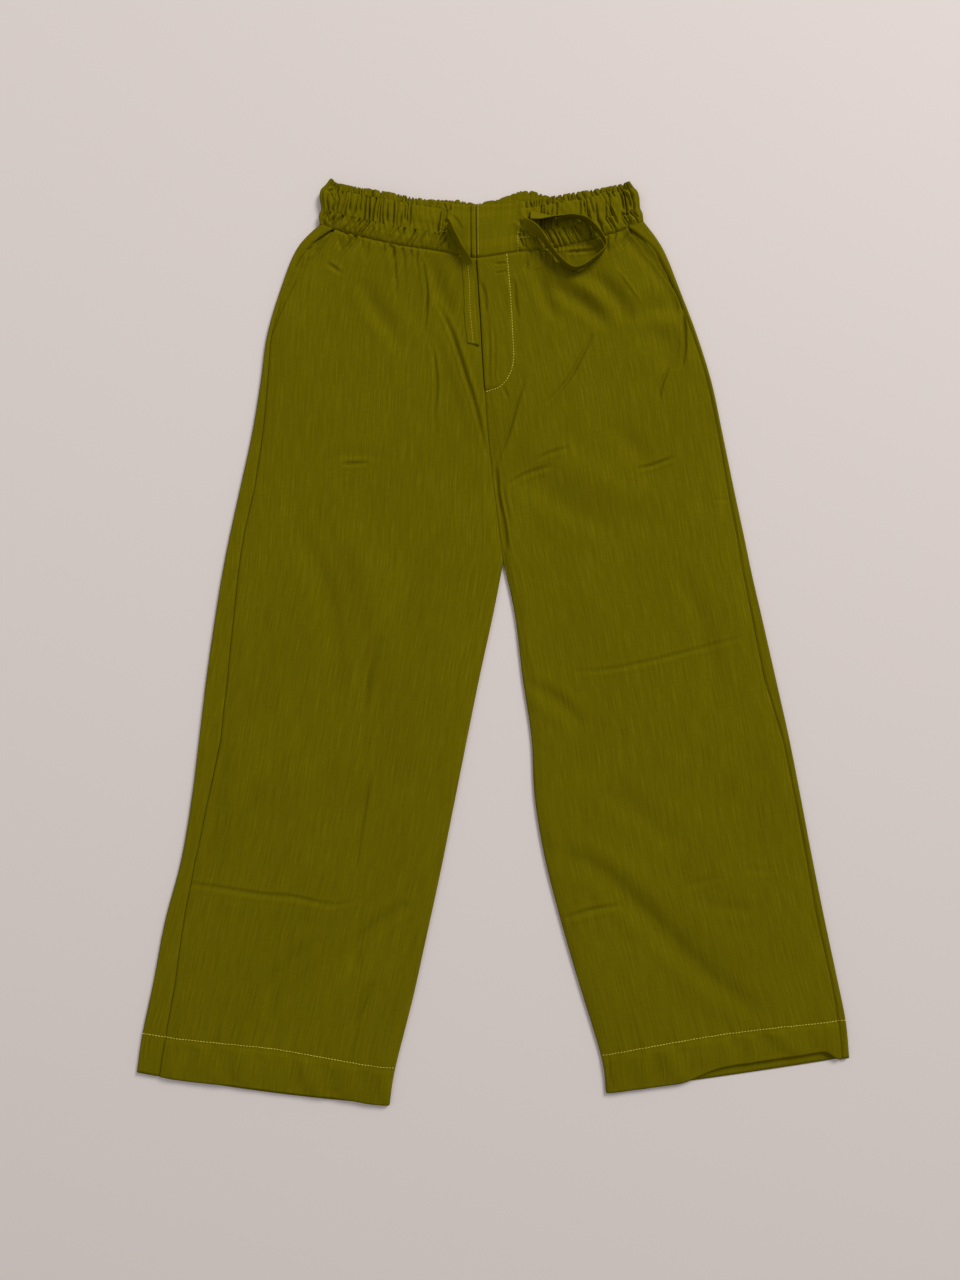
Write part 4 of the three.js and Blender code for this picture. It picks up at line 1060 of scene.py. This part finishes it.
def tie_piece(name, route, sizes, slant):
    """A flat tie: a folded strip, sewn down its middle, cut off at a slant."""
    width = sizes.tie_width / MM
    line, roll = tie_line(route, width)
    travelled = travel(line)
    along = np.gradient(line, axis=0)
    along /= np.linalg.norm(along, axis=1)[:, None]
    level = np.cross(along, (0, 0, 1))
    level /= np.linalg.norm(level, axis=1)[:, None]
    across = level * np.cos(roll)[:, None] + np.cross(along, level) * np.sin(roll)[:, None]
    face = np.cross(across, along)
    around = np.linspace(0, 2 * math.pi, TIE_ROUND, endpoint=False)
    w = np.sign(np.cos(around)) * np.abs(np.cos(around)) ** 0.6
    t = np.sign(np.sin(around)) * np.abs(np.sin(around)) ** 0.5
    t = t * (1 - 0.45 * hump(w, 0.13))
    wobble = 1 + 0.05 * np.sin(travelled / 7.3) + 0.03 * np.sin(travelled / 2.9 + 1)
    end = np.exp(-(travelled[-1] - travelled) / 4)
    points = []
    for i, centre in enumerate(line):
        wide = (w * width / 2 * wobble[i])[:, None]
        thick = (t * TIE_THICK / 2)[:, None]
        cut = (w * slant * end[i])[:, None]
        points.append(centre + across[i] * wide + face[i] * thick + along[i] * cut)
    rings = np.arange(len(line) * len(around)).reshape(len(line), -1)
    beside = np.roll(rings, -1, axis=1)
    faces = grid(rings[:-1], beside[:-1], beside[1:], rings[1:]).reshape(-1, 4).tolist()
    faces += [rings[0, ::-1].tolist(), rings[-1].tolist()]
    places = grid(*np.broadcast_arrays((w * width / 2)[None, :], travelled[:, None]))
    piece = mesh_object(name, np.concatenate(points), faces, places.reshape(-1, 2))
    return piece, line, travelled[-1]


# Materials


def linear(hex_colour):
    """An sRGB hex colour as linear red, green and blue."""
    values = [int(hex_colour[i : i + 2], 16) / 255 for i in (0, 2, 4)]
    return tuple(v / 12.92 if v <= 0.04045 else ((v + 0.055) / 1.055) ** 2.4 for v in values)


def add_node(tree, kind, settings=(), inputs=(), links=()):
    """Adds a node: its settings, the values of its sockets, and what feeds them."""
    node = tree.nodes.new(kind)
    for key, value in dict(settings).items():
        setattr(node, key, value)
    for key, value in dict(inputs).items():
        node.inputs[key].default_value = value
    for key, source in dict(links).items():
        tree.links.new(source, node.inputs[key])
    return node


def new_material(name, roughness, colour):
    material = bpy.data.materials.new(name)
    material.use_nodes = True
    material.diffuse_color = (*colour, 1)
    shader = material.node_tree.nodes["Principled BSDF"]
    shader.inputs["Base Color"].default_value = (*colour, 1)
    shader.inputs["Roughness"].default_value = roughness
    return material, material.node_tree, shader


def streaks(tree, places, across_mm, down_mm, detail=2.0):
    """A noise whose marks are so many millimetres across and down."""
    scale = (1000 / across_mm, 1000 / down_mm, 1)
    mapping = add_node(tree, "ShaderNodeMapping", inputs={"Scale": scale}, links={"Vector": places})
    noise = add_node(
        tree,
        "ShaderNodeTexNoise",
        inputs={"Scale": 1.0, "Detail": detail, "Roughness": 0.6},
        links={"Vector": mapping.outputs["Vector"]},
    )
    return noise.outputs["Fac"]


def together(tree, values):
    """The sum of several patterns."""
    total, *others = values
    for other in others:
        sum_node = add_node(tree, "ShaderNodeMath", {"operation": "ADD"}, links={0: total, 1: other})
        total = sum_node.outputs["Value"]
    return total


def roughen(tree, shader, relief):
    """Raises a pattern a tenth of a millimetre off the surface."""
    bump = add_node(
        tree, "ShaderNodeBump", inputs={"Strength": 0.4, "Distance": 0.0001}, links={"Height": relief}
    )
    tree.links.new(bump.outputs["Normal"], shader.inputs["Normal"])


def slub_cotton(name, colour, deep, light):
    """Plain-weave cotton spun with slubs and dyed in the piece: matt, with fine uneven streaks down
    the warp, fainter ones across it, and a slow change of shade over the panel."""
    material, tree, shader = new_material(name, roughness=0.86, colour=colour)
    places = add_node(tree, "ShaderNodeUVMap", {"uv_map": "weave"}).outputs["UV"]
    warp = streaks(tree, places, 1.1, 30)
    slub = streaks(tree, places, 2.6, 90, 1.0)
    weft = streaks(tree, places, 16, 1.2)
    patch = streaks(tree, places, 90, 140, 1.0)
    weights = ((warp, -0.15, 0.15), (slub, -0.06, 0.06), (weft, -0.05, 0.05), (patch, 0.46, 0.54))
    shades = []
    for pattern, low, high in weights:
        limits = {"From Min": 0.3, "From Max": 0.7, "To Min": low, "To Max": high}
        share = add_node(tree, "ShaderNodeMapRange", inputs=limits, links={"Value": pattern})
        shades.append(share.outputs["Result"])
    ramp = add_node(tree, "ShaderNodeValToRGB", links={"Fac": together(tree, shades)})
    stops = ramp.color_ramp.elements
    stops[0].color = (*deep, 1)
    stops[1].color = (*light, 1)
    stops.new(0.5).color = (*colour, 1)
    tree.links.new(ramp.outputs["Color"], shader.inputs["Base Color"])
    # Real threads are 0.3 mm apart and wouldn't show, so the weave is drawn three times as coarse.
    threads = streaks(tree, places, 1.0, 8, 0.0)
    picks = streaks(tree, places, 8, 1.0, 0.0)
    roughen(tree, shader, together(tree, [threads, picks, warp, weft]))
    shader.inputs["Specular IOR Level"].default_value = 0.02
    return material


def polyester_thread(name, colour):
    """Spun polyester sewing thread: a shade lighter and yellower than the cloth, with a dull gloss.
    Its twist shows as marks about 1.1 mm long, 900 of them to a metre."""
    material, tree, shader = new_material(name, roughness=0.55, colour=colour)
    places = add_node(tree, "ShaderNodeTexCoord").outputs["Object"]
    scale = (900, 900, 900)
    twist = add_node(tree, "ShaderNodeMapping", inputs={"Scale": scale}, links={"Vector": places})
    fine = twist.outputs["Vector"]
    noise = add_node(tree, "ShaderNodeTexNoise", inputs={"Scale": 1.0}, links={"Vector": fine})
    roughen(tree, shader, noise.outputs["Fac"])
    return material


def cloth_material(part):
    """The cotton of the panels, of the waistband and of the ties: one cloth, with painted light that makes
    the waistband 4 per cent and the ties 6 per cent lighter than the panels.
    """
    # Painted light: the waistband and the ties are lighter copies of the same cotton, not a different
    # cloth.
    name, painted_lightness = {
        "panels": ("slubbed cotton", 1.0),
        "band": ("slubbed cotton, gathered, painted lighter", 1.04),
        "tie": ("slubbed cotton, folded, painted lighter", 1.06),
    }[part]
    colours = bpy.context.scene.pants_colours
    shades = (colours.cloth, colours.cloth_deep, colours.cloth_light)
    painted_lighter_shades = [tuple(c * painted_lightness for c in shade) for shade in shades]
    return bpy.data.materials.get(name) or slub_cotton(name, *painted_lighter_shades)


def thread_material():
    name = "spun polyester thread"
    colour = tuple(bpy.context.scene.pants_colours.thread)
    return bpy.data.materials.get(name) or polyester_thread(name, colour)


def dress(piece, material, *nodes, slot="cloth"):
    piece.data.materials.clear()
    piece.data.materials.append(material)
    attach(piece, "root")
    if nodes:
        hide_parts(*nodes)
    return piece


# Stitching


def stitch_tree():
    """Thread stitches along a line: short rounded pieces, a little uneven, that follow it."""
    tree = bpy.data.node_groups.new("running stitches", "GeometryNodeTree")
    sockets = {
        "Geometry": ("Geometry", None),
        "Pitch": ("Float", 0.003),
        "Stitch length": ("Float", 0.0022),
        "Thread radius": ("Float", 0.0003),
        "Unevenness": ("Float", 0.12),
        "Seed": ("Int", 3),
        "Thread": ("Material", None),
    }
    for name, (kind, value) in sockets.items():
        socket = tree.interface.new_socket(name, in_out="INPUT", socket_type="NodeSocket" + kind)
        if value is not None:
            socket.default_value = value
    tree.interface.new_socket("Geometry", in_out="OUTPUT", socket_type="NodeSocketGeometry")
    given = add_node(tree, "NodeGroupInput").outputs
    line = add_node(tree, "GeometryNodeMeshToCurve", links={"Mesh": given["Geometry"]})
    even = add_node(
        tree,
        "GeometryNodeResampleCurve",
        {"mode": "LENGTH"},
        links={"Curve": line.outputs["Curve"], "Length": given["Pitch"]},
    )
    ball = add_node(tree, "GeometryNodeMeshUVSphere", inputs={"Segments": 6, "Rings": 4, "Radius": 1.0})
    long, radius, uneven = given["Stitch length"], given["Thread radius"], given["Unevenness"]
    half = add_node(tree, "ShaderNodeMath", {"operation": "MULTIPLY"}, inputs={1: 0.5}, links={0: long})
    measures = {"X": radius, "Y": radius, "Z": half.outputs["Value"]}
    size = add_node(tree, "ShaderNodeCombineXYZ", links=measures)
    least, most = (
        add_node(tree, "ShaderNodeMath", {"operation": kind}, inputs={0: 1.0}, links={1: uneven})
        for kind in ("SUBTRACT", "ADD")
    )
    chance = add_node(
        tree,
        "FunctionNodeRandomValue",
        {"data_type": "FLOAT"},
        links={2: least.outputs["Value"], 3: most.outputs["Value"], "Seed": given["Seed"]},
    )
    scale = add_node(
        tree,
        "ShaderNodeVectorMath",
        {"operation": "SCALE"},
        links={"Vector": size.outputs["Vector"], "Scale": chance.outputs[1]},
    )
    tangent = add_node(tree, "GeometryNodeInputTangent").outputs["Tangent"]
    turn = add_node(tree, "FunctionNodeAlignRotationToVector", {"axis": "Z"}, links={"Vector": tangent})
    stitches = add_node(
        tree,
        "GeometryNodeInstanceOnPoints",
        links={
            "Points": even.outputs["Curve"],
            "Instance": ball.outputs["Mesh"],
            "Rotation": turn.outputs["Rotation"],
            "Scale": scale.outputs["Vector"],
        },
    )
    real = add_node(tree, "GeometryNodeRealizeInstances", links={"Geometry": stitches.outputs["Instances"]})
    threaded = add_node(
        tree,
        "GeometryNodeSetMaterial",
        links={"Geometry": real.outputs["Geometry"], "Material": given["Thread"]},
    )
    add_node(tree, "NodeGroupOutput", links={"Geometry": threaded.outputs["Geometry"]})
    return tree


def sew(name, lines, sizes, seed, pitch=1.0, width=1.0):
    """Runs stitches along lines of points in millimetres, as one piece."""
    thread = thread_material()
    points, edges = [], []
    for line in lines:
        start = len(points)
        points += (np.asarray(line, float) * MM).tolist()
        edges += [(start + k, start + k + 1) for k in range(len(line) - 1)]
    mesh = bpy.data.meshes.new(name + "_line")
    mesh.from_pydata(points, edges, [])
    guide = bpy.data.objects.new(name + "_line", mesh)
    bpy.context.scene.collection.objects.link(guide)
    tree = bpy.data.node_groups.get("running stitches") or stitch_tree()
    modifier = guide.modifiers.new("stitches", "NODES")
    modifier.node_group = tree
    values = {
        "Pitch": sizes.stitch_pitch * pitch,
        "Stitch length": sizes.stitch_pitch * pitch * STITCH_SHARE,
        "Thread radius": sizes.thread_width * width / 2,
        "Unevenness": UNEVENNESS,
        "Seed": seed,
        "Thread": thread,
    }
    for item in tree.interface.items_tree:
        if item.in_out == "INPUT" and item.name in values:
            modifier[item.identifier] = values[item.name]
    bpy.context.view_layer.update()
    graph = bpy.context.evaluated_depsgraph_get()
    sewn = guide.evaluated_get(graph)
    made = bpy.data.meshes.new_from_object(sewn, preserve_all_data_layers=True, depsgraph=graph)
    guide.modifiers.clear()
    bpy.data.objects.remove(guide)
    if len(made.polygons) == 0:
        raise RuntimeError(name + ": no stitches were made")
    made.polygons.foreach_set("use_smooth", [True] * len(made.polygons))
    piece = bpy.data.objects.new(name, made)
    bpy.context.scene.collection.objects.link(piece)
    return dress(piece, thread)


class Face:
    """What shows of the pieces from above, for what is sewn on them."""

    def __init__(self, *names):
        self.trees = []
        for name in names:
            mesh = bpy.data.objects[name].data
            points = [v.co for v in mesh.vertices]
            self.trees.append(BVHTree.FromPolygons(points, [p.vertices for p in mesh.polygons]))

    def height(self, x, y):
        hits = [tree.ray_cast((x * MM, y * MM, 0.1), (0, 0, -1))[0] for tree in self.trees]
        found = [hit.z / MM for hit in hits if hit is not None]
        return max(found) if found else None

    def line(self, route, lift, step=0.8):
        """A line laid on the face along a route of x, y points, so far above it."""
        route = np.asarray(route, float)
        length = travel(through(route, even_places(route, 400)))[-1]
        flat = through(route, even_places(route, max(3, int(length / step))))
        laid = [(x, y, self.height(x, y)) for x, y in flat]
        kept = [(x, y, z + lift) for x, y, z in laid if z is not None]
        if len(kept) < 2:
            raise RuntimeError("a line of stitches lies on nothing")
        return kept


# What a user would change


def measure(name, description, start, low, high):
    return FloatProperty(
        name=name, description=description, default=start, min=low, max=high, unit="LENGTH"
    )


def tint(name, description, hex_colour):
    start = linear(hex_colour)
    return FloatVectorProperty(
        name=name, description=description, subtype="COLOR", default=start, min=0, max=1
    )


class PantsSizes(PropertyGroup):
    cloth: measure("Cloth wall", "Thickness of one layer of cloth", 0.001, 0.0005, 0.0012)
    gathers: FloatProperty(
        name="Gathers", description="How high they stand", default=1.0, min=0, max=2, subtype="FACTOR"
    )
    tie_width: measure("Tie width", "Width of the flat drawstring", 0.0125, 0.006, 0.02)
    stitch_pitch: measure("Stitch pitch", "From one stitch to the next", 0.0029, 0.0015, 0.006)
    thread_width: measure("Thread width", "Width of the topstitching thread", 0.0009, 0.0003, 0.0015)
    seed: IntProperty(name="Seed", description="Seed of the uneven stitches", default=11, min=0)


class PantsColours(PropertyGroup):
    cloth: tint("Cloth", "Olive green of the cotton", "675e02")
    cloth_deep: tint("Cloth, deep", "Its darkest threads", "504801")
    cloth_light: tint("Cloth, light", "Its lightest threads", "7e740c")
    thread: tint("Thread", "Topstitching thread", "bbad2a")
    floor: tint("Floor", "Pale floor", "e3d9d4")


# The pieces and the stage


class PieceOperator:
    """What the operators share."""

    bl_options = {"REGISTER", "UNDO"}


class PANTS_OT_stage(PieceOperator, Operator):
    """Sets the camera straight above the garment, the soft lights and the pale floor"""

    bl_idname = "pants.stage"
    bl_label = "Stage"

    def execute(self, context):
        scene = context.scene
        camera_data = bpy.data.cameras.new("view from above")
        camera_data.sensor_width = 36
        camera_data.lens = LENS
        camera = bpy.data.objects.new("view from above", camera_data)
        camera.location = CAMERA_PLACE
        scene.collection.objects.link(camera)
        scene.camera = camera
        for name, place, size, power, colour in LIGHTS:
            lamp = bpy.data.lights.new(name, "AREA")
            lamp.shape = "DISK"
            lamp.size = size
            lamp.energy = power
            lamp.color = colour
            light = bpy.data.objects.new(name, lamp)
            light.location = place
            light.rotation_euler = (-Vector(place)).to_track_quat("-Z", "Y").to_euler()
            scene.collection.objects.link(light)
        world = bpy.data.worlds.new("soft room")
        world.use_nodes = True
        background = world.node_tree.nodes["Background"]
        background.inputs["Color"].default_value = (*ROOM_COLOUR, 1)
        background.inputs["Strength"].default_value = ROOM_STRENGTH
        scene.world = world
        scene.view_settings.view_transform = "Standard"
        turns = ((-1, -1), (1, -1), (1, 1), (-1, 1))
        corners = [(x * FLOOR_HALF, y * FLOOR_HALF, FLOOR_LEVEL) for x, y in turns]
        floor = mesh_object("floor", corners, [[0, 1, 2, 3]])
        # Pale matt vinyl sheet in a warm grey: even, and barely glossy.
        warm_grey = tuple(scene.pants_colours.floor)
        material, _, shader = new_material("pale matt vinyl", roughness=0.7, colour=warm_grey)
        shader.inputs["Specular IOR Level"].default_value = 0.2
        floor.data.materials.append(material)
        return {"FINISHED"}


class PANTS_OT_drawstring(PieceOperator, Operator):
    """Lays the two flat ends of the drawstring"""

    bl_idname = "pants.drawstring"
    bl_label = "Drawstring"

    def execute(self, context):
        sizes = context.scene.pants_sizes
        for name, route, slant, node in (
            ("drawstring_end_right", RIGHT_TIE, -2.2, "drawstring_right_end"),
            ("drawstring_end_left", LEFT_TIE, 1.0, "drawstring_left_end"),
        ):
            piece, line, length = tie_piece(name, route, sizes, slant)
            dress(piece, cloth_material("tie"), node, slot="drawstring_cloth")
        return {"FINISHED"}


class PANTS_OT_back_panels(PieceOperator, Operator):
    """Cuts the back panels, which wrap round the outer edges"""

    bl_idname = "pants.back_panels"
    bl_label = "Back panels"

    def execute(self, context):
        for side in SIDES:
            piece = back_panel(side, context.scene.pants_sizes)
            dress(piece, cloth_material("panels"), "back_" + side)
        return {"FINISHED"}


class PANTS_OT_pocket_facings(PieceOperator, Operator):
    """Lays the pocket facings behind the slanted pocket mouths"""

    bl_idname = "pants.pocket_facings"
    bl_label = "Pocket facings"

    def execute(self, context):
        for side in SIDES:
            piece = pocket_facing(side, context.scene.pants_sizes)
            dress(piece, cloth_material("panels"), "pocket_facing_" + side)
        return {"FINISHED"}


class PANTS_OT_front_panels(PieceOperator, Operator):
    """Lays the front panels over the back, with their hems and creases"""

    bl_idname = "pants.front_panels"
    bl_label = "Front panels"

    def execute(self, context):
        for side in SIDES:
            piece = front_panel(side, context.scene.pants_sizes)
            dress(piece, cloth_material("panels"), "front_" + side)
        return {"FINISHED"}


class PANTS_OT_fly(PieceOperator, Operator):
    """Lays the mock fly on the left front"""

    bl_idname = "pants.fly"
    bl_label = "Mock fly"

    def execute(self, context):
        piece = fly_piece(context.scene.pants_sizes)
        dress(piece, cloth_material("panels"), "fly_placket")
        return {"FINISHED"}


class PANTS_OT_waistband(PieceOperator, Operator):
    """Gathers the waistband: its back, and its two front halves"""

    bl_idname = "pants.waistband"
    bl_label = "Waistband"

    def execute(self, context):
        sizes = context.scene.pants_sizes
        back = back_band(sizes)
        dress(back, cloth_material("band"), "waistband_back", slot="waistband_cloth")
        for side in SIDES:
            piece = front_band(side, sizes)
            dress(piece, cloth_material("band"), "waistband_front_" + side, slot="waistband_cloth")
        return {"FINISHED"}


class PANTS_OT_stitching(PieceOperator, Operator):
    """Sews what shows of the topstitching: the waistband's middle line and slits, a pocket's tack,
    a tie, the hems and the J of the fly"""

    bl_idname = "pants.stitching"
    bl_label = "Stitching"

    def execute(self, context):
        sizes = context.scene.pants_sizes
        legs = [layer + "_panel_" + side for layer in ("front", "back") for side in SIDES]
        halves = ["waistband_front_half_" + side for side in SIDES]
        panels = Face(*legs, "fly_layer")
        faces = {
            "panels": panels,
            "band": Face(*halves, "waistband_back_run"),
            "tie": Face("drawstring_end_right"),
        }
        for number, (name, face, lift, pitch, width, routes) in enumerate(STITCHING):
            lines = [faces[face].line(route, lift) for route in routes]
            sew(name, lines, sizes, sizes.seed + number, pitch, width)
        for side in SIDES:
            share = np.linspace(0.006, 0.99, 90)
            section = Section(side, hem_line(side, share) - 0.03)
            hem = panels.line(grid(*section.point(share * section.width)), lift=0.1)
            sew("hem_stitches_" + side, [hem], sizes, sizes.seed + 30, pitch=1.1, width=1.15)
        share = np.linspace(0.0, 0.985, 120)
        section = fly_sections(share)
        curve = grid(*section.point(section.sewn - fly_width(share) + 0.6))
        # The J runs on past the fly's foot, to the front seam.
        foot = np.linspace(curve[-1], J_END, 9)[1:]
        whole = panels.line(np.concatenate([curve, foot]), lift=0.1)
        sew("fly_stitches", [whole], sizes, sizes.seed + 20, width=1.25)
        return {"FINISHED"}


class PANTS_PT_pieces(Panel):
    """Lists the garment's pieces and what can be changed"""

    bl_label = "Palazzo pants"
    bl_idname = "PANTS_PT_pieces"
    bl_space_type = "VIEW_3D"
    bl_region_type = "UI"
    bl_category = "Pants"

    def draw(self, context):
        layout = self.layout
        for group in (context.scene.pants_sizes, context.scene.pants_colours):
            box = layout.box()
            for name in group.__annotations__:
                box.prop(group, name)
        for operator in OPERATORS:
            layout.operator(operator.bl_idname)


OPERATORS = (
    PANTS_OT_stage,
    PANTS_OT_drawstring,
    PANTS_OT_back_panels,
    PANTS_OT_pocket_facings,
    PANTS_OT_front_panels,
    PANTS_OT_fly,
    PANTS_OT_waistband,
    PANTS_OT_stitching,
)
CLASSES = (PantsSizes, PantsColours, *OPERATORS, PANTS_PT_pieces)


def register():
    for cls in CLASSES:
        bpy.utils.register_class(cls)
    bpy.types.Scene.pants_sizes = PointerProperty(type=PantsSizes)
    bpy.types.Scene.pants_colours = PointerProperty(type=PantsColours)


def unregister():
    del bpy.types.Scene.pants_sizes
    del bpy.types.Scene.pants_colours
    for cls in reversed(CLASSES):
        bpy.utils.unregister_class(cls)


def main():
    register()
    bpy.ops.pants.stage()
    bpy.ops.pants.drawstring()
    bpy.ops.pants.back_panels()
    bpy.ops.pants.pocket_facings()
    bpy.ops.pants.front_panels()
    bpy.ops.pants.fly()
    bpy.ops.pants.waistband()
    bpy.ops.pants.stitching()


if __name__ == "__main__":
    main()
